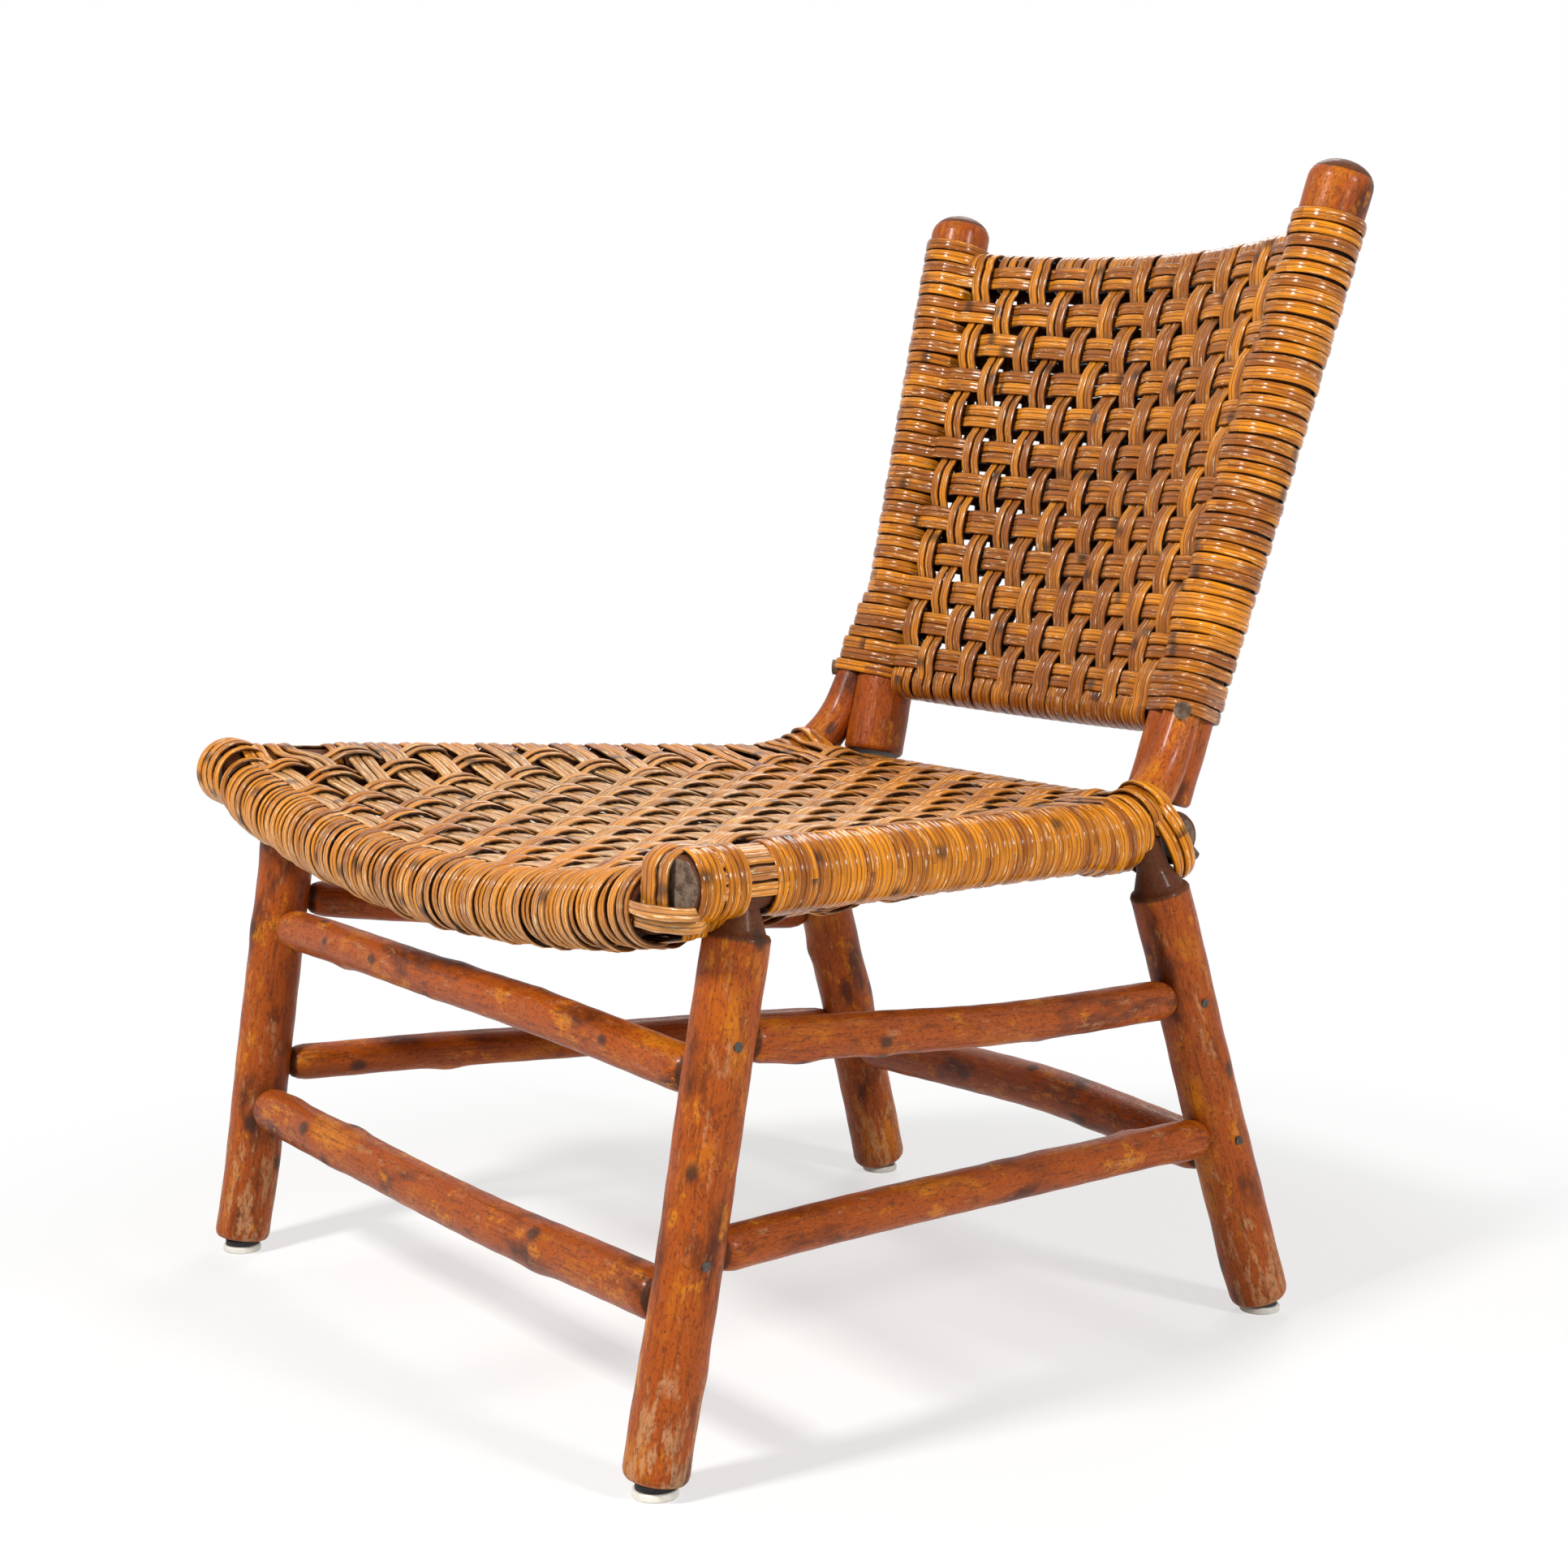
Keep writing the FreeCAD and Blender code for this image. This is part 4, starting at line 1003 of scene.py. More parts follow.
def rail_lean(y):
    """How far a wrap leans where the side rail starts to rise: its top forward and its underside back."""
    return REAR_LEAN * ease(y, *REAR_LEAN_SPAN)


def rail_slack(y):
    """How far a wrap hangs below the side rail, more towards the rear corner."""
    return REAR_SLACK * ease(y, *REAR_SLACK_SPAN)


def rear_rub(y):
    """Share of the wear that is left on the seat towards the rear, where it is hardly rubbed."""
    return 1 - LITTLE_RUBBED * ease(y, *LITTLE_RUBBED_SPAN)


def row_at_rail(level):
    """Where a row lies on the side rail: rows near the leg tenon move apart by a bell-shaped push."""
    away = level - front_leg_at(poles().side_rail_front[2], 1)[1]
    return level + np.where(away < 0, -1, 1) * TENON_PUSH * np.exp(-(away / TENON_PUSH_REACH) ** 2)


def side_turn(y, start, stop, steps):
    """Part of a leaning ring about the left side rail, for each y: a circle in x and height, counted from
    outward, whose y falls with the height."""
    angle = np.linspace(start, stop, steps)
    along = y[:, None] - rail_lean(y)[:, None] * np.sin(angle)
    rail_x, rail_z = side_rail_near(along)
    wrap = side_wrap()
    hang = rail_slack(y)[:, None] * np.clip(-np.sin(angle), 0, 1)
    return np.stack([rail_x + wrap * np.cos(angle), along, rail_z + wrap * np.sin(angle) - hang], axis=-1)


def row_layer(rng, at_rail, level, parity, layer):
    """One layer of the side-to-side strands, over and under the pairs and up over the side rails, and how
    far its points are from the rails, from 0 to 1."""
    r = rattan()
    sway = twin_drift(rng, r.seat_rows, np.linspace(-0.3, 0.3, ROW_POINTS), SEAT_WANDER)
    wrap = side_wrap()
    edge = at_rail - layer * rail_lean(at_rail)
    rail_x, rail_z = (value[:, None] for value in side_rail_near(edge))
    x = rail_x * np.linspace(-1, 1, ROW_POINTS)
    from_rail = rail_x - np.abs(x)
    inside = ease(from_rail, 0.004, 0.06)
    y = mix(edge[:, None], level[:, None], inside) + sway * inside
    phase = x / seat_closing(y) / r.seat_pitch
    swing = over_under(phase) * parity[:, None] * r.seat_waves[1] * ease(from_rail, 0.02, 0.04)
    drop = np.where(from_rail < wrap, np.sqrt(np.maximum(wrap ** 2 - from_rail ** 2, 0)), -0.05)
    z = layer * soft_max(layer * seat_layer(x, y, layer) + swing, drop + layer * rail_z, 0.004)
    z = z + min(layer, 0) * rail_slack(at_rail)[:, None] * (1 - ease(from_rail, 0.0, 0.03))
    return np.stack([x, y, z], axis=-1), ease(from_rail, 0.0, 0.05)


def seat_rows():
    """Strands from side to side: under the seat, round a side rail, over the seat and round the other rail.
    The first rows bunch up at the rails to pass in front of and behind the leg tenons."""
    r = rattan()
    rng = np.random.default_rng(51)
    number, twin = twin_numbers(r.seat_rows)
    parity = (-1.0) ** number
    middle = r.seat_first_row + number * r.seat_row_pitch
    level = middle + twin * r.seat_pair
    at_rail = row_at_rail(middle) + twin * r.seat_pair
    low = row_layer(rng, at_rail, level, parity, -1)[0]
    top, rubbed = row_layer(rng, at_rail, level, parity, 1)
    turn = side_turn(at_rail, -np.pi / 2, np.pi / 2, TURN_POINTS)[:, 1:-1]
    paths = np.concatenate([low, turn, top[:, ::-1], turn[:, ::-1] * (-1, 1, 1)], axis=1)
    quiet = np.full(turn.shape[:2], RAIL_WEAR)
    rubbed = ROW_WEAR[0] + ROW_WEAR[1] * rubbed[:, ::-1] * rear_rub(level)[:, None]
    wear = np.concatenate([np.full(low.shape[:2], QUIET_WEAR), quiet, rubbed, quiet], axis=1)
    return bundle(paths, FORWARD, rng, wear, width=r.seat_strand)


def side_spacers():
    """Strands wound round the side rails between the rows and before the third row."""
    r = rattan()
    rng = np.random.default_rng(52)
    rows = row_at_rail(r.seat_first_row + np.arange(2, r.seat_rows) * r.seat_row_pitch)
    between = (rows[1:] + rows[:-1]) / 2
    step = r.seat_pair + r.seat_strand
    places = np.concatenate([rows[:1] - step, between])
    sets = []
    for side in SIDES.values():
        y = places + rng.normal(0, 0.0004, len(places))
        ring = side_turn(y, 0, 2 * np.pi, RING_POINTS + 1)[:, :-1]
        ring = ring if side == 1 else ring[:, ::-1] * (-1, 1, 1)
        sets.append(bundle(ring, FORWARD, rng, RAIL_WEAR, width=r.seat_strand * 0.9))
    return sets


def lengthwise_strands():
    """Short strands laid along each side rail where the leg's tenon leaves no room for wraps: lines on the
    rail's surface at a few angles from outward. The right rail's reach its front end."""
    p = poles()
    rng = np.random.default_rng(56)
    sets = []
    for side, first, angles in ((1, -0.300, (-8.0, 16.0, 44.0, 70.0, 96.0)),
                                (-1, p.side_rail_front[1] + 0.010, (-44.0, -20.0, 4.0, 28.0, 52.0, 76.0))):
        y = np.linspace(first, LENGTHWISE_END, 16)
        rail_x, rail_z = side_rail_near(y)
        angle = np.radians(angles)[:, None]
        spin = angle + rng.normal(0, 0.03, angle.shape) + drift(rng, len(angle), y, 0.04, 2)
        out = np.stack(np.broadcast_arrays(side * np.cos(spin), 0.0, np.sin(spin)), axis=-1)
        axis_line = np.stack(np.broadcast_arrays(side * rail_x, y, rail_z), axis=-1)
        paths = axis_line + (side_wrap() - LENGTHWISE_SINK) * out
        sets.append(bundle(paths, np.cross(out, -FORWARD), rng, 0.3, closed=False, thick=LENGTHWISE_THICK))
    return sets


def end_strands():
    """Two strands that come forward over the left side rail's front end and bend down over its face:
    a smooth curve through a few places in the plane of one x."""
    rng = np.random.default_rng(59)
    z = poles().side_rail_front[2]
    route = np.array([(-0.272, z + 0.012), (-0.286, z + 0.0185), (-0.302, z + 0.0195), (-0.3125, z + 0.0125),
                      (-0.3145, z), (-0.3148, z - 0.010), (-0.3140, z - 0.019)])
    y, height = smooth_through(route, 48).T
    x = np.array([0.2990, 0.3150])[:, None]
    paths = np.stack(np.broadcast_arrays(x, y, height), axis=-1)
    return [bundle(paths, ACROSS, rng, 0.12, closed=False, width=np.array([[0.0165], [0.0100]]))]


def corner_bands():
    """Strands that pass below the sawn end of the left side rail, from the front wrapping round to the side
    wrapping: a smooth curve through a few places, with a second one lower and further in."""
    rng = np.random.default_rng(57)
    points = 40
    route = np.array([(0.284, -0.3195), (0.296, -0.3222), (0.310, -0.3212), (0.3225, -0.3168),
                      (0.3315, -0.3100), (0.3330, -0.3040), (0.3260, -0.2960)])
    x, y = smooth_through(route, points).T
    drop = np.array([0.0, 0.0078])[:, None]
    sag = np.array([0.0004, 0.0010])[:, None] * np.sin(np.pi * np.linspace(0, 1, points))
    tuck = np.array([0.0, 0.0050])[:, None]
    paths = np.stack([x - tuck, y + tuck, CORNER_BAND_Z - drop - sag], axis=-1)
    return [bundle(paths, UP, rng, 0.5, closed=False)]


def smooth_through(route, points):
    """Points of a cubic curve through the places of a route, with the mean of the two neighbours' slopes
    at each."""
    step = np.linspace(0, len(route) - 1, points)
    slopes = np.gradient(route, axis=0)
    first = np.clip(step.astype(int), 0, len(route) - 2)
    t = (step - first)[:, None]
    start, end = route[first], route[first + 1]
    rise = (2 * t ** 3 - 3 * t ** 2 + 1) * start + (3 * t ** 2 - 2 * t ** 3) * end
    return rise + (t ** 3 - 2 * t ** 2 + t) * slopes[first] + (t ** 3 - t ** 2) * slopes[first + 1]


def pair_x(number, twin, y, sway):
    """Where a front-to-rear strand lies across the seat."""
    return number * rattan().seat_pitch * seat_closing(y) + twin * rattan().seat_pair + sway


def pair_swing(number, y):
    """How far a front-to-rear strand swings over and under the rows, fading out at the rails."""
    r = rattan()
    p = poles()
    phase = (y - r.seat_first_row) / r.seat_row_pitch
    fade = ease(y, p.front_rail_y + 0.002, p.front_rail_y + 0.016) * ease(p.rear_rail[0] - y, 0.004, 0.03)
    return -over_under(phase, 1.2) * np.cos(np.pi * number) * r.seat_waves[0] * fade


def rail_turn(x, center_y, center_z, dia, start, stop):
    """Part of a circle round a seat rail, seen along X."""
    angle = np.linspace(start, stop, TURN_POINTS + 2)[1:-1]
    radius = wrap_radius(dia, SEAT_CLEAR)
    return np.stack(np.broadcast_arrays(
        x, center_y + radius * np.cos(angle), center_z + radius * np.sin(angle)), axis=-1)


def front_turn(x, slack):
    """The way of strands down round the front rail. Slack ones hang lower and lean as they come under it."""
    p = poles()
    turn = rail_turn(x, p.front_rail_y, front_rail_at(x), p.front_rail_dia, np.pi / 2, 3 * np.pi / 2)
    under = np.linspace(0, 1, turn.shape[1]) ** 2
    turn[..., 0] += slack[:, :1] * under
    turn[..., 2] -= slack[:, 1:] * under
    return turn


def pair_layers(number, twin, y, rng):
    """The upper and lower lines of front-to-rear strands, and their way round the front rail, with some
    slack there."""
    strands = len(number)
    sway = twin_drift(rng, strands // 2, y[0], SEAT_WANDER)
    x = pair_x(number[:, None], twin[:, None], y, sway)
    swing = pair_swing(number[:, None], y)
    slack = np.stack([rng.normal(0, FRONT_LEAN, strands), rng.uniform(0.0, FRONT_SLACK, strands)], axis=-1)
    fade = 1 - ease(y, poles().front_rail_y, poles().front_rail_y + 0.06)
    top = np.stack([x, y, seat_layer(x, y, 1) + swing], axis=-1)
    low_z = seat_layer(x, y, -1) - swing - slack[:, 1:] * fade
    low = np.stack([x + slack[:, :1] * fade, y, low_z], axis=-1)
    return top, low, front_turn(x[:, :1], slack)


def front_squeeze(y):
    """How a front-to-rear strand narrows towards the front rail, as a share of its width."""
    from_rail = y - poles().front_rail_y
    return 1 - FRONT_SQUEEZE * (1 - ease(from_rail, 0, FRONT_SQUEEZE_REACH))


def whole_pairs():
    """Closed front-to-rear strands: under the seat to the rear, up round the rear rail, forward on top,
    and down round the front rail."""
    p = poles()
    rng = np.random.default_rng(53)
    number, twin = seat_numbers(True)
    line = np.linspace(p.front_rail_y, p.rear_rail[0], PAIR_POINTS)
    top, low, front = pair_layers(number, twin, np.broadcast_to(line, (len(number), PAIR_POINTS)), rng)
    rear = rail_turn(top[:, -1:, 0], p.rear_rail[0], p.rear_rail[1], p.rear_rail_dia, -np.pi / 2, np.pi / 2)
    paths = np.concatenate([low, rear, top[:, ::-1], front], axis=1)
    back = line[::-1]
    rubbed = PAIR_WEAR * ease(back, p.front_rail_y + 0.02, p.front_rail_y + 0.12) * rear_rub(back)
    under = np.full(PAIR_POINTS + TURN_POINTS, QUIET_WEAR)
    wear = np.concatenate([under, QUIET_WEAR + rubbed, np.linspace(*FRONT_WEAR, TURN_POINTS)])
    flat = front_squeeze(line)
    shares = np.concatenate([flat, np.ones(TURN_POINTS), flat[::-1], np.full(TURN_POINTS, flat[0])])
    return bundle(paths, ACROSS, rng, wear, width=rattan().seat_strand * shares)


def seat_numbers(whole):
    """Numbers, counted from the middle, and sides of the front-to-rear strands that reach the rear rail
    between the posts, or of those that don't."""
    r = rattan()
    number, twin = twin_numbers(r.seat_pairs)
    number = number - (r.seat_pairs - 1) / 2
    fits = np.abs(number) * r.seat_pitch * (1 - r.seat_taper) < poles().post_foot[0] - 0.010
    keep = fits if whole else ~fits
    return number[keep], twin[keep]


def corner_pairs():
    """Open strands that fill the wide front corners: from a side rail forward on top, down round the front
    rail, and back underneath. Their ends dip between the layers."""
    p = poles()
    r = rattan()
    rng = np.random.default_rng(58)
    number, twin = seat_numbers(False)
    path = side_rail_path(1)[:PATH_POINTS]
    inner = path[:, 0] - p.side_rail_dia / 2 - 0.004
    ends = np.interp(-np.abs(number) * r.seat_pitch * 0.93, -inner, path[:, 1])
    share = np.linspace(0, 1, CORNER_POINTS)
    y = p.front_rail_y + (ends[:, None] - p.front_rail_y) * share
    top, low, front = pair_layers(number, twin, y, rng)
    dip = CORNER_DIP * ease(share, 0.93, 1.0)
    top[..., 2] -= dip
    low[..., 2] += dip
    paths = np.concatenate([top[:, ::-1], front, low], axis=1)
    rubbed = QUIET_WEAR + CORNER_WEAR * ease(share[::-1], 0.05, 0.4)
    under = np.full(CORNER_POINTS, QUIET_WEAR)
    wear = np.concatenate([rubbed, np.linspace(*FRONT_WEAR, TURN_POINTS), under])
    flat = front_squeeze(y)
    shares = np.concatenate([flat[:, ::-1], np.full((len(y), TURN_POINTS), flat[0, 0]), flat], axis=1)
    return bundle(paths, ACROSS, rng, wear, closed=False, width=r.seat_strand * shares)


def cross_spacers():
    """Strands wound round the front and rear seat rails between the pairs: two for each gap and one at the
    left end in front, one for each gap in the rear, and a row that carries on over the right side rail's
    end."""
    r = rattan()
    p = poles()
    rng = np.random.default_rng(54)
    gaps = (np.arange(r.seat_pairs - 1) - (r.seat_pairs - 2) / 2) * r.seat_pitch
    front_x = np.concatenate([gaps - SPACER_APART, gaps + SPACER_APART])
    front_x = front_x + rng.normal(0, 0.0006, len(front_x))
    last = (r.seat_pairs - 1) / 2 * r.seat_pitch + r.seat_pair + r.seat_strand * 0.9
    front_x = np.append(front_x, last)
    wraps = 6
    out = np.linspace(0, 1, wraps)
    corner_x = -last - np.arange(wraps) * r.strand[0]
    climb, forward, swell = 0.0085, 0.003, 0.002
    corner_z = front_rail_at(corner_x) + climb * ease(out, 0.0, 0.5)
    rear_x = gaps * (1 - r.seat_taper)
    rear_x = rear_x[np.abs(rear_x) < p.post_foot[0] - 0.004]
    front_r, rear_r = p.front_rail_dia / 2, p.rear_rail_dia / 2
    places = (
        (front_x, p.front_rail_y, front_rail_at(front_x), front_r, r.seat_spacer),
        (corner_x, p.front_rail_y - forward * out, corner_z, front_r + swell * out, r.strand[0]),
        (rear_x, p.rear_rail[0], p.rear_rail[1], rear_r, r.seat_spacer * 1.3))
    turn = full_turn(RING_POINTS)
    low = np.clip(-np.sin(turn), 0, 1)
    sets = []
    for x, y, z, radius, width in places:
        x, y, z, radius = (np.broadcast_to(value, len(x))[:, None] for value in (x, y, z, radius))
        wrap = radius + r.strand[1] / 2 + rng.uniform(-0.0003, 0.0007, x.shape)
        hang = rng.uniform(0, 0.003, x.shape) * low
        lean = rng.normal(0, 0.0010, x.shape) * np.sin(turn)
        ring = np.stack([x + lean, y + wrap * np.cos(turn), z + wrap * np.sin(turn) - hang], axis=-1)
        sets.append(bundle(ring, ACROSS, rng, QUIET_WEAR + PAIR_WEAR * low, width=width))
    return sets


def corner_loops():
    """The thick strands tied round each rear seat corner: leaning ellipses about the side rail and the end
    of the rear rail, the second one nearer the front."""
    r = rattan()
    rng = np.random.default_rng(55)
    turn = full_turn(40)[:, None]
    breadth, lean, rise = r.loop_half
    to_side, to_top = np.array([breadth, 0, 0]), np.array([0, lean, rise])
    axis = unit(np.cross(to_side, to_top))
    ring = np.cos(turn) * to_side + np.sin(turn) * to_top
    left = np.array(r.loop_center) + np.stack([ring, ring * 0.96 + axis * LOOP_STEP])
    first, second, thick = r.loop_strands
    width = np.array([[first], [second]])
    return [bundle(paths, axis, rng, 0.0, width=width, thick=thick)
            for paths in (left, left[:, ::-1] * (-1, 1, 1))]


# Materials

class Wire:
    """A value in a node tree. Arithmetic on it adds Math nodes."""

    def __init__(self, paint, socket):
        self.paint = paint
        self.socket = socket

    def math(self, operation, *others):
        """One Math node on this value and others, which are wires or numbers."""
        node = self.paint.node("ShaderNodeMath", {"operation": operation}, dict(enumerate((self,) + others)))
        return Wire(self.paint, node.outputs[0])

    def __add__(self, other):
        return self.math("ADD", other)

    __radd__ = __add__

    def __sub__(self, other):
        return self.math("SUBTRACT", other)

    def __rsub__(self, other):
        return self.math("MULTIPLY_ADD", -1.0, other)

    def __mul__(self, other):
        return self.math("MULTIPLY", other)

    __rmul__ = __mul__

    def __pow__(self, other):
        return self.math("POWER", other)


class Paint:
    """The nodes of one material or world."""

    def __init__(self, holder, end="ShaderNodeOutputMaterial"):
        holder.use_nodes = True
        self.holder = holder
        self.tree = holder.node_tree
        self.tree.nodes.clear()
        self.end = self.tree.nodes.new(end)

    def node(self, kind, settings=None, sockets=None):
        """A node of a type, with its settings made first and then its sockets' values or links."""
        node = self.tree.nodes.new(kind)
        for key, value in (settings or {}).items():
            if key == "stops":
                set_stops(node.color_ramp, value)
            else:
                setattr(node, key, value)
        for key, value in (sockets or {}).items():
            if isinstance(value, Wire):
                self.tree.links.new(value.socket, node.inputs[key])
            else:
                node.inputs[key].default_value = value
        return node

    def out(self, node, key=0):
        """One output of a node as a wire."""
        return Wire(self, node.outputs[key])

    def attribute(self, name, key="Fac"):
        """A mesh attribute, as a value or a vector."""
        return self.out(self.node("ShaderNodeAttribute", {"attribute_name": name}), key)

    def place(self):
        """The point's own Object coordinates."""
        return self.out(self.node("ShaderNodeTexCoord"), "Object")

    def split(self, vector):
        """A vector's three values."""
        node = self.node("ShaderNodeSeparateXYZ", None, {0: vector})
        return [self.out(node, axis) for axis in range(3)]

    def stretched(self, vector, scale):
        """A vector times a scale along each axis."""
        return self.out(self.node("ShaderNodeVectorMath", {"operation": "MULTIPLY"}, {0: vector, 1: scale}))

    def combined(self, x, y, z):
        """A vector from three values."""
        return self.out(self.node("ShaderNodeCombineXYZ", None, {0: x, 1: y, 2: z}))

    def noise(self, vector, scale, detail=2.0, rough=0.5):
        """Noise from 0 to 1 at a point."""
        sockets = {"Vector": vector, "Scale": scale, "Detail": detail, "Roughness": rough}
        return self.out(self.node("ShaderNodeTexNoise", None, sockets), "Fac")

    def step(self, value, low, high):
        """0 below low, 1 above high, smooth between."""
        sockets = {"Value": value, "From Min": low, "From Max": high}
        return self.out(self.node("ShaderNodeMapRange", {"interpolation_type": "SMOOTHSTEP"}, sockets))

    def ramp(self, value, stops):
        """A colour from a value."""
        return self.out(self.node("ShaderNodeValToRGB", {"stops": stops}, {"Fac": value}), "Color")

    def blend(self, share, a, b):
        """Two colours mixed by a share."""
        sockets = {0: share, 6: shade(a), 7: shade(b)}
        return self.out(self.node("ShaderNodeMix", {"data_type": "RGBA"}, sockets), 2)

    def seen(self):
        """1 for what the camera sees by itself, in a reflection or through glass, and 0 for soft light."""
        rays = self.node("ShaderNodeLightPath")
        glossy = self.out(rays, "Is Glossy Ray").math("MAXIMUM", self.out(rays, "Is Transmission Ray"))
        return glossy.math("MAXIMUM", self.out(rays, "Is Camera Ray"))

    def surface(self, shader):
        """Joins the last shader to the output, and gives the material or world."""
        self.tree.links.new(shader.outputs[0], self.end.inputs["Surface"])
        return self.holder

    def finish(self, sockets, bump, depth, strength):
        """Ends a material in a Principled shader with a bump."""
        ridge = self.node("ShaderNodeBump", None, {"Height": bump, "Distance": depth, "Strength": strength})
        sockets = dict(sockets, Normal=self.out(ridge))
        self.surface(self.node("ShaderNodeBsdfPrincipled", None, sockets))

    def either(self, share, first, second):
        """Joins a mix of two shaders to the output."""
        sockets = {0: share, 1: self.out(first), 2: self.out(second)}
        return self.surface(self.node("ShaderNodeMixShader", None, sockets))


def new_paint(name):
    """The nodes of a new, empty material."""
    return Paint(bpy.data.materials.new(name))


def shade(value):
    """A wire as it is, or a colour with its alpha."""
    return value if isinstance(value, Wire) else tuple(value) + (1.0,)


def set_stops(ramp, stops):
    """Gives a colour ramp its stops: pairs of a place and a colour."""
    while len(ramp.elements) < len(stops):
        ramp.elements.new(0.5)
    for element, (at, value) in zip(ramp.elements, stops):
        element.position = at
        element.color = tuple(value) + (1.0,)


def hickory_varnish():
    """Peeled hickory under old varnish: broad red-brown and orange areas, ochre islands, fine dark specks
    and fibres, dark knots, stained joints, painted shade where rattan is wound on the poles, and bare
    grey-tan wood where the varnish has rubbed off."""
    c = finishes()
    paint = new_paint("hickory_varnish")
    grain = paint.attribute("grain", "Vector")
    knot = paint.attribute("knot")
    bare = paint.attribute("bare")
    stain = paint.attribute("stain")
    broad = paint.noise(paint.stretched(grain, (1.0, 1.0, 0.45)), 26.0, 4.0, 0.6)
    islands = paint.noise(paint.stretched(grain, (1.0, 1.0, 0.55)), 60.0, 5.0, 0.7)
    fibre = paint.noise(paint.stretched(grain, (1.0, 1.0, 0.07)), 430.0, 4.0, 0.65)
    specks = paint.noise(paint.stretched(grain, (1.0, 1.0, 0.5)), 620.0, 3.0, 0.7)
    scuffs = paint.noise(paint.stretched(grain, (1.0, 1.0, 0.3)), 120.0, 6.0, 0.75)
    base = paint.ramp(broad, [(0.34, c.hickory_deep), (0.45, c.hickory_red), (0.55, c.hickory_red),
                              (0.66, c.hickory_amber)])
    base = paint.blend(paint.step(islands, 0.56, 0.68) * 0.7, base, c.hickory_ochre)
    base = paint.blend(paint.step(1 - islands, 0.58, 0.70) * 0.6, base, c.hickory_deep)
    base = paint.blend(paint.step(fibre, 0.50, 0.68) * 0.55, base, c.hickory_deep)
    rubbed = paint.step(scuffs + 0.09 * bare, 0.56, 0.68)
    base = paint.blend(rubbed * (0.45 + 0.15 * bare), base, c.hickory_worn)
    base = paint.blend(paint.step(specks, 0.52, 0.66) * 0.6, base, c.hickory_deep)
    # Real stain near the joints, and painted shade where rattan is wound on the pole.
    dark = paint.step(stain + 0.5 * (scuffs - 0.5), 0.15, 0.75)
    base = paint.blend(dark * 0.8, base, c.hickory_stain_and_shade)
    base = paint.blend(paint.step(knot, 0.15, 0.8) * 0.85, base, c.hickory_stain_and_shade)
    rough = 0.36 + 0.25 * rubbed + 0.18 * dark + 0.15 * specks
    height = fibre * 0.35 - paint.step(specks, 0.5, 0.7) * 0.5 + broad * 0.4 - rubbed * 0.15
    paint.finish({"Base Color": base, "Roughness": rough, "Specular IOR Level": 0.15,
                  "Coat Weight": 0.12, "Coat Roughness": 0.18}, height, depth=0.0008, strength=0.7)


def hickory_end_grain():
    """Weathered sawn wood: grey-brown with dark checks and fine saw texture."""
    c = finishes()
    paint = new_paint("hickory_end_grain")
    where = paint.place()
    coarse = paint.noise(where, 130.0, 3.0, 0.6)
    fine = paint.noise(paint.stretched(where, (1.0, 1.0, 3.0)), 700.0, 2.0, 0.6)
    base = paint.blend(paint.step(coarse, 0.35, 0.65), c.hickory_stain_and_shade, c.end_grain)
    base = paint.blend(paint.step(fine, 0.5, 0.75) * 0.35, base, c.hickory_worn)
    paint.finish({"Base Color": base, "Roughness": 0.62 + 0.2 * fine}, fine * 0.6 + coarse,
                 depth=0.0008, strength=0.6)


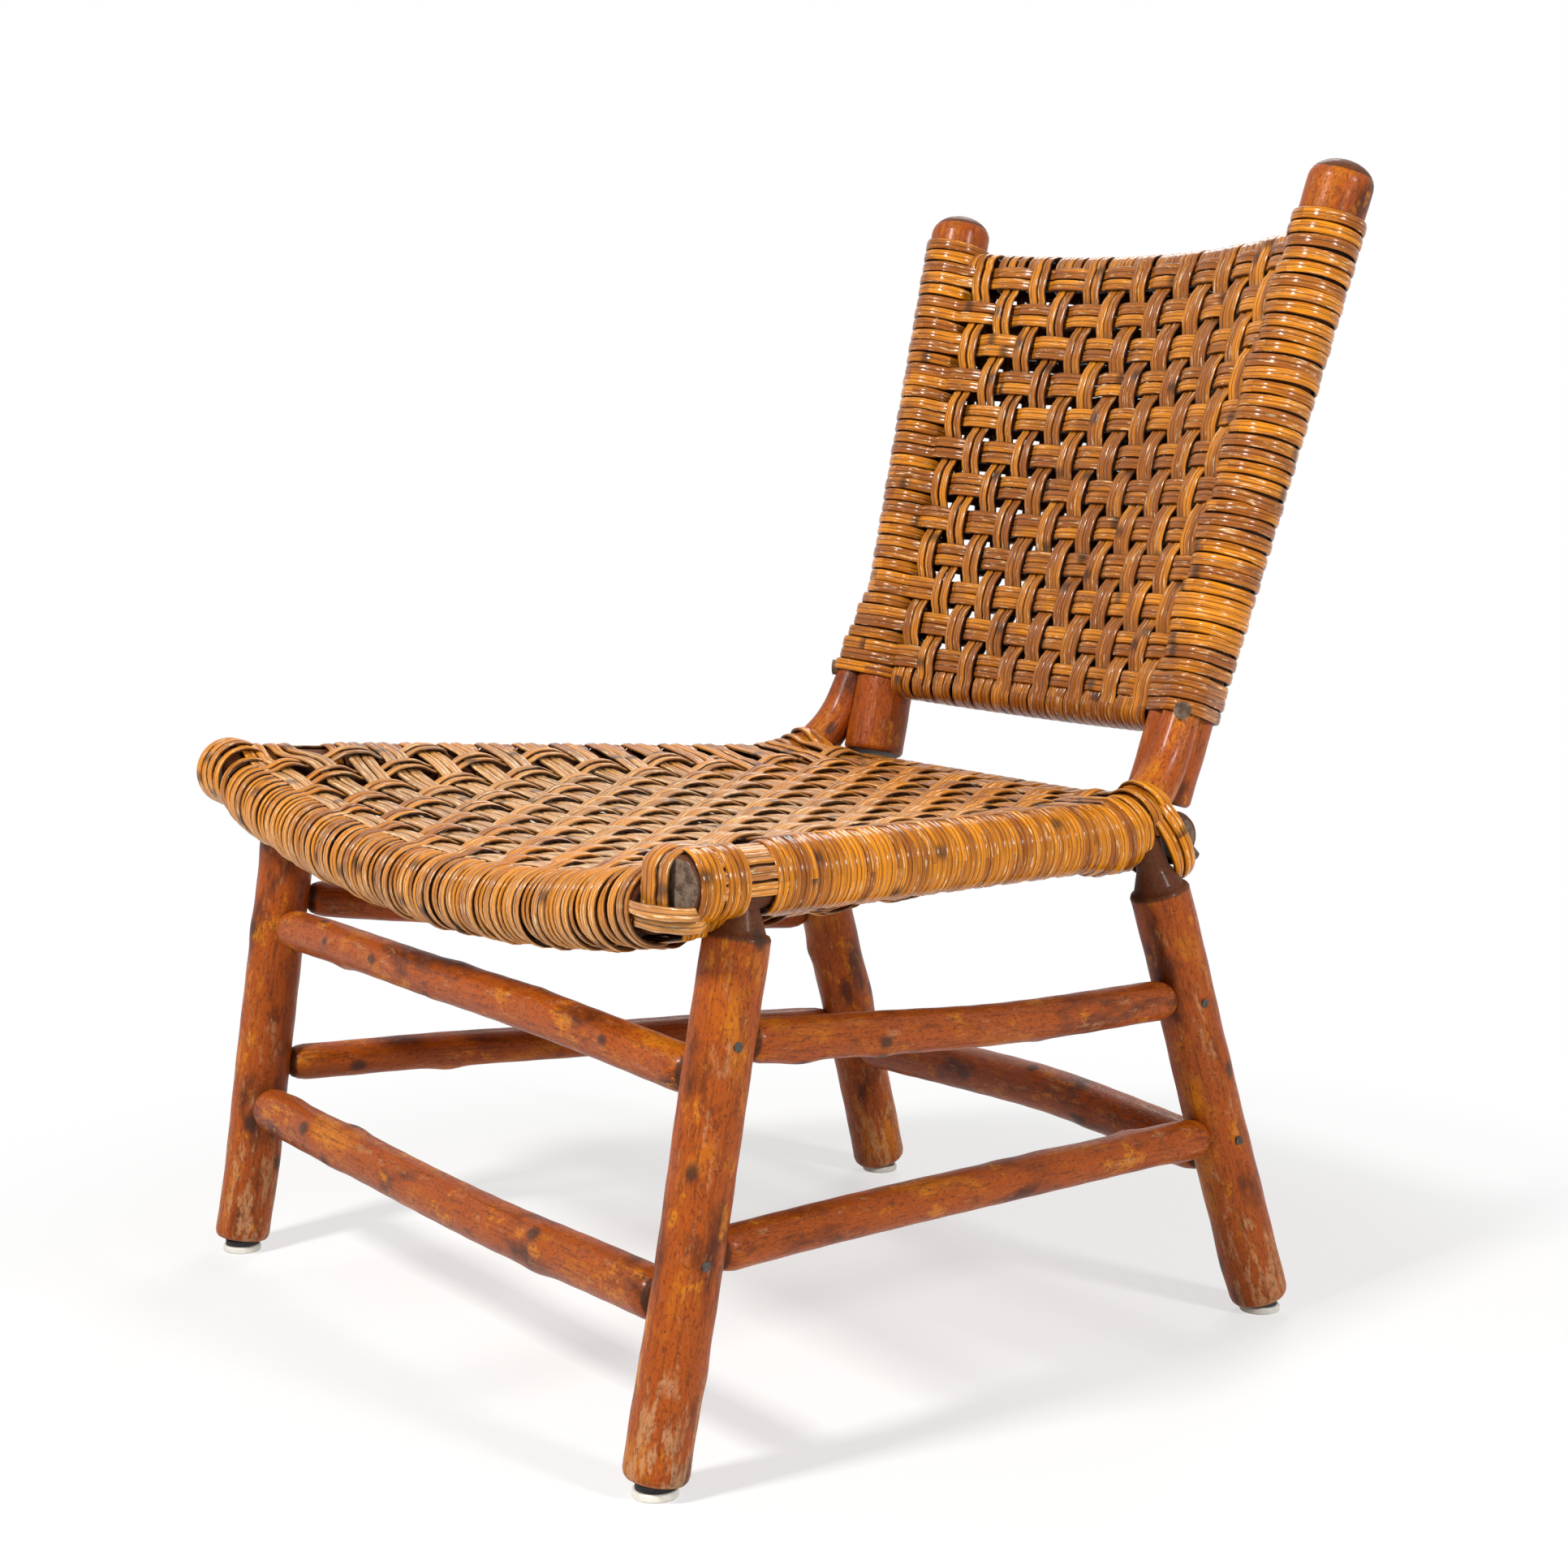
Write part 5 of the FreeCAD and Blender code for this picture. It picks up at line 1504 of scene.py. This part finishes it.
def rattan_peel():
    """Glossy rattan peel: amber with dark lengthwise grooves and streaks, a tint for each strand, dark bands
    at the nodes, cream chips that are partly a painted highlight on worn strands, a paler rubbed look by the
    wear attribute, a painted contact shadow along the strand edges, and a dull inner face painted dark as
    shade."""
    c = finishes()
    paint = new_paint("rattan_peel")
    across, along = paint.split(paint.out(paint.node("ShaderNodeUVMap", {"uv_map": "strand"})))[:2]
    tint = paint.attribute("tint")
    wear = paint.attribute("wear")
    inner = paint.attribute("inner")
    seed = tint * 53.0
    slow = paint.noise(paint.combined(along * 15.0 + seed, across * 0.8, seed), 1.0, 3.0, 0.6)
    streak = paint.noise(paint.combined(along * 8.0, across * 7.0 + seed, seed), 1.0, 3.0, 0.6)
    fibre = paint.noise(paint.combined(along * 40.0, across * 30.0 + seed, seed), 1.0, 2.0, 0.6)
    chips = paint.noise(paint.combined(along * 75.0 + seed, across * 5.0, seed), 1.0, 3.0, 0.65)
    wander = paint.noise(paint.combined(along * 20.0, seed, 0.0), 1.0, 1.0, 0.5)
    from_middle = (across - 0.5).math("ABSOLUTE")
    lines = (across * 21.0 + wander * 1.2 + seed * 0.3).math("SINE")
    groove = (0.7 * paint.step(lines, 0.80, 1.0)).math("MAXIMUM", 1 - paint.step(from_middle, 0.01, 0.07))
    # Painted shadow: a thin dark line along both edges of each strand stands in for the contact shadow between
    # strands.
    edge = paint.step(from_middle, 0.42, 0.49)
    band = paint.step((along * 3.4 + tint * 7.0).math("PINGPONG", 0.5), 0.475, 0.498)
    # Cream chips: partly real chips, and partly a painted highlight, raised where the wear is high.
    chips_and_highlight = paint.step(chips + 0.08 * wear, 0.59, 0.69)
    base = paint.blend(paint.step(slow + (tint - 0.5) * 0.34, 0.34, 0.70), c.rattan_brown, c.rattan_amber)
    base = paint.blend(paint.step(streak, 0.46, 0.74) * 0.55, base, c.rattan_brown)
    base = paint.blend(paint.step(fibre, 0.55, 0.8) * 0.3, base, c.rattan_dark)
    base = paint.blend(wear * (0.5 + 0.4 * slow), base, c.rattan_worn)
    base = paint.blend(chips_and_highlight * 0.6, base, c.rattan_cream)
    # Dark grooves, and the painted contact shadow at the edges.
    base = paint.blend(groove * 0.7 + edge * 0.65, base, c.rattan_dark)
    base = paint.blend(band * 0.7, base, c.rattan_dark)
    # Painted shade: the inner faces are darkened as if in shade inside the weave.
    base = paint.blend(inner * 0.85, base, c.rattan_dark)
    rough = 0.15 + 0.16 * wear + 0.10 * streak + 0.12 * chips_and_highlight + 0.25 * inner
    height = streak * 0.3 + fibre * 0.15 + band * 0.5 - groove * 0.7 - edge * 0.25
    paint.finish({"Base Color": base, "Roughness": rough, "Specular IOR Level": 0.12,
                  "Coat Weight": 0.22, "Coat Roughness": 0.12}, height, depth=0.0005, strength=0.7)


def plain_finish(name, key, low, high, scale, rough, metal=0.0):
    """A moulded or dull metal finish: its colour mottled by noise, with fine bumps and varied gloss."""
    paint = new_paint(name)
    where = paint.place()
    cloud = paint.noise(where, scale, 4.0, 0.6)
    speck = paint.noise(where, scale * 6, 2.0, 0.5)
    tone = np.array(getattr(finishes(), key))
    base = paint.blend(paint.step(cloud, 0.3, 0.7), tuple(tone * low), tuple(np.clip(tone * high, 0, 1)))
    paint.finish({"Base Color": base, "Roughness": rough + 0.2 * (speck - 0.5), "Metallic": metal},
                 speck, depth=0.0002, strength=0.4)


def studio_floor():
    """A pale floor that keeps the shadow near the chair and goes to plain white for the camera further
    out."""
    paint = new_paint("studio_floor")
    x, y = paint.split(paint.place())[:2]
    away = (x * x + y * y) ** 0.5
    white = paint.node("ShaderNodeEmission", None, {"Color": (1, 1, 1, 1), "Strength": 1.0})
    matt = paint.node("ShaderNodeBsdfDiffuse", None, {"Color": shade(finishes().floor)})
    return paint.either(paint.seen() * (0.62 + 0.38 * paint.step(away, 0.40, 0.85)), matt, white)


def studio_surround(scene):
    """A soft even light that the camera and reflections see as white."""
    paint = Paint(bpy.data.worlds.new("studio_surround"), "ShaderNodeOutputWorld")
    light = paint.node("ShaderNodeBackground", None, {"Color": (1.0, 0.99, 0.97, 1.0), "Strength": 0.15})
    white = paint.node("ShaderNodeBackground", None, {"Color": (1, 1, 1, 1), "Strength": 1.0})
    scene.world = paint.either(paint.seen(), light, white)


# Operators

class ChairFinishes(bpy.types.Operator):
    """Makes the wood, rattan, glide and steel materials"""
    bl_idname = "pole_chair.finishes"
    bl_label = "Finishes"

    def execute(self, context):
        hickory_varnish()
        hickory_end_grain()
        rattan_peel()
        plain_finish("glide_nylon_moulded", "nylon", low=0.86, high=1.04, scale=160.0, rough=0.45)
        plain_finish("glide_rubber_moulded", "rubber", low=0.7, high=1.5, scale=240.0, rough=0.7)
        plain_finish("nail_steel_dull", "steel", low=0.55, high=1.15, scale=420.0, rough=0.45, metal=0.85)
        return {"FINISHED"}


class ChairLegs(bpy.types.Operator):
    """Builds the four legs"""
    bl_idname = "pole_chair.legs"
    bl_label = "Legs"

    def execute(self, context):
        p = poles()
        for seed, (name, side) in enumerate(SIDES.items(), 1):
            make_leg(name + "_front_leg", front_leg_at, side, p.front_leg_dia, p.front_shoulder, seed)
            make_leg(name + "_rear_leg", rear_leg_at, side, p.rear_leg_dia, p.rear_shoulder, seed + 4)
        return {"FINISHED"}


class ChairStretchers(bpy.types.Operator):
    """Builds the seven stretchers between the legs"""
    bl_idname = "pole_chair.stretchers"
    bl_label = "Stretchers"

    def execute(self, context):
        p = poles()
        f = p.front_leg_dia / 2
        r = p.rear_leg_dia / 2
        for seed, name in ((11, "front_upper_stretcher"), (12, "front_lower_stretcher")):
            z, dia, bow = getattr(p, name)
            make_stretcher(name, front_leg_at(z, -1), front_leg_at(z, 1), (f, f), dia, bow, seed)
        z, dia, bow = p.rear_stretcher
        make_stretcher("rear_stretcher", rear_leg_at(z, -1), rear_leg_at(z, 1), (r, r), dia, bow, 13)
        for side_name, side in SIDES.items():
            for seed, level in ((14, "upper_stretcher"), (16, "lower_stretcher")):
                front_z, rear_z, bow = getattr(p, level)
                make_stretcher(
                    side_name + "_" + level, front_leg_at(front_z, side), rear_leg_at(rear_z, side), (f, r),
                    p.side_stretcher_dia, bow, seed + side)
        return {"FINISHED"}


class ChairRails(bpy.types.Operator):
    """Builds the seat rails, the back rails and the back posts"""
    bl_idname = "pole_chair.rails"
    bl_label = "Rails and posts"

    def execute(self, context):
        for seed, name in enumerate(SIDES, 21):
            make_side_rail(name, seed)
            make_post(name, seed + 4)
        make_front_rail()
        make_cross_rails()
        return {"FINISHED"}


class ChairSeat(bpy.types.Operator):
    """Weaves the seat"""
    bl_idname = "pole_chair.seat"
    bl_label = "Seat weave"

    def execute(self, context):
        lay("seat_front_to_rear_strands", [whole_pairs()], ("seat_warp_strands",))
        lay("seat_corner_strands", [corner_pairs()], ())
        lay("seat_side_to_side_strands", [seat_rows()], ("seat_weft_strands",))
        wraps = cross_spacers() + side_spacers() + lengthwise_strands() + end_strands() + corner_bands()
        lay("seat_rail_wrapping", wraps, ())
        lay("corner_loops", corner_loops(), ("left_corner_loop", "right_corner_loop"))
        return {"FINISHED"}


class ChairBack(bpy.types.Operator):
    """Weaves the back"""
    bl_idname = "pole_chair.back"
    bl_label = "Back weave"

    def execute(self, context):
        lay("back_upright_strands", [back_columns()], ("back_warp_strands",))
        lay("back_level_strands", [back_rows()], ("back_weft_strands",))
        lay("back_wrapping", [post_spacers()] + rail_spacers(), ())
        return {"FINISHED"}


class ChairFittings(bpy.types.Operator):
    """Finishes the glides, plugs, nails and screws"""
    bl_idname = "pole_chair.fittings"
    bl_label = "Glides, plugs and nails"

    def execute(self, context):
        finish_of = {"glide_nylon": "glide_nylon_moulded", "glide_rubber": "glide_rubber_moulded",
                     "steel": "nail_steel_dull", "plug_wood": "hickory_end_grain"}
        for sub in frame["record"]["subparts"]:
            if sub["material_slot"] in finish_of:
                node = frame["nodes"][sub["node"]]
                for slot in node.material_slots:
                    slot.material = bpy.data.materials[finish_of[sub["material_slot"]]]
        return {"FINISHED"}


class ChairStudio(bpy.types.Operator):
    """Sets up the floor, the lights, the white surround and the camera"""
    bl_idname = "pole_chair.studio"
    bl_label = "Studio"

    def execute(self, context):
        scene = context.scene
        scene.view_settings.view_transform = "Standard"
        self.floor()
        studio_surround(scene)
        self.lamp("key", (0.4, -2.4, 2.5), (0.0, 0.0, 0.4), size=0.45, power=108.0)
        self.lamp("fill", (2.9, 0.5, 1.7), (0.0, 0.0, 0.35), size=0.45, power=60.0)
        self.lamp("rim", (-1.6, 1.6, 2.4), (0.0, 0.1, 0.5), size=1.0, power=26.0)
        self.camera(scene)
        return {"FINISHED"}

    def floor(self):
        """A level square sheet under the glides."""
        half = 6.0
        mesh = bpy.data.meshes.new("studio_floor")
        corners = [(-half, -half, 0), (half, -half, 0), (half, half, 0), (-half, half, 0)]
        mesh.from_pydata(corners, [], [(0, 1, 2, 3)])
        mesh.materials.append(studio_floor())
        piece = bpy.data.objects.new("studio_floor", mesh)
        bpy.context.collection.objects.link(piece)

    def lamp(self, name, spot, target, size, power):
        """A square soft lamp that faces a target."""
        data = bpy.data.lights.new(name, "AREA")
        data.size = size
        data.energy = power
        piece = bpy.data.objects.new(name, data)
        aim = np.array(target) - np.array(spot)
        flat = math.hypot(aim[0], aim[1])
        piece.location = spot
        piece.rotation_euler = (math.atan2(flat, -aim[2]), 0, math.atan2(-aim[0], aim[1]))
        bpy.context.collection.objects.link(piece)

    def camera(self, scene):
        """The photograph's view: from the front and the sitter's left, a little above the seat."""
        data = bpy.data.cameras.new("photo_view")
        data.sensor_width = 36.0
        data.lens = 66.74
        piece = bpy.data.objects.new("photo_view", data)
        piece.location = (1.6979, -1.1465, 0.6200)
        tilt, turn = 90 - 7.151, 56.564
        piece.rotation_euler = (math.radians(tilt), 0, math.radians(turn))
        bpy.context.collection.objects.link(piece)
        scene.camera = piece


class ChairPanel(bpy.types.Panel):
    """Lists the chair's building steps"""
    bl_idname = "VIEW3D_PT_pole_chair"
    bl_label = "Pole Chair"
    bl_space_type = "VIEW_3D"
    bl_region_type = "UI"
    bl_category = "Pole Chair"

    def draw(self, context):
        for step in STEPS:
            self.layout.operator(step.bl_idname)
        for group in (context.scene.pole_sizes, context.scene.rattan_sizes, context.scene.chair_finishes):
            box = self.layout.box()
            for key in group.bl_rna.properties.keys():
                if key not in ("rna_type", "name"):
                    box.prop(group, key)


STEPS = (ChairFinishes, ChairLegs, ChairStretchers, ChairRails, ChairSeat, ChairBack, ChairFittings,
         ChairStudio)
GROUPS = {"pole_sizes": PoleSizes, "rattan_sizes": RattanSizes, "chair_finishes": Finishes}


def register():
    """Makes the operators, the panel and the sizes known."""
    for item in tuple(GROUPS.values()) + STEPS + (ChairPanel,):
        bpy.utils.register_class(item)
    for key, group in GROUPS.items():
        setattr(bpy.types.Scene, key, bpy.props.PointerProperty(type=group))


def unregister():
    """Takes them away again."""
    for key in GROUPS:
        delattr(bpy.types.Scene, key)
    for item in (ChairPanel,) + STEPS + tuple(GROUPS.values()):
        bpy.utils.unregister_class(item)


def main():
    """Builds the whole scene."""
    register()
    bpy.ops.pole_chair.finishes()
    bpy.ops.pole_chair.legs()
    bpy.ops.pole_chair.stretchers()
    bpy.ops.pole_chair.rails()
    bpy.ops.pole_chair.seat()
    bpy.ops.pole_chair.back()
    bpy.ops.pole_chair.fittings()
    bpy.ops.pole_chair.studio()


if __name__ == "__main__":
    main()
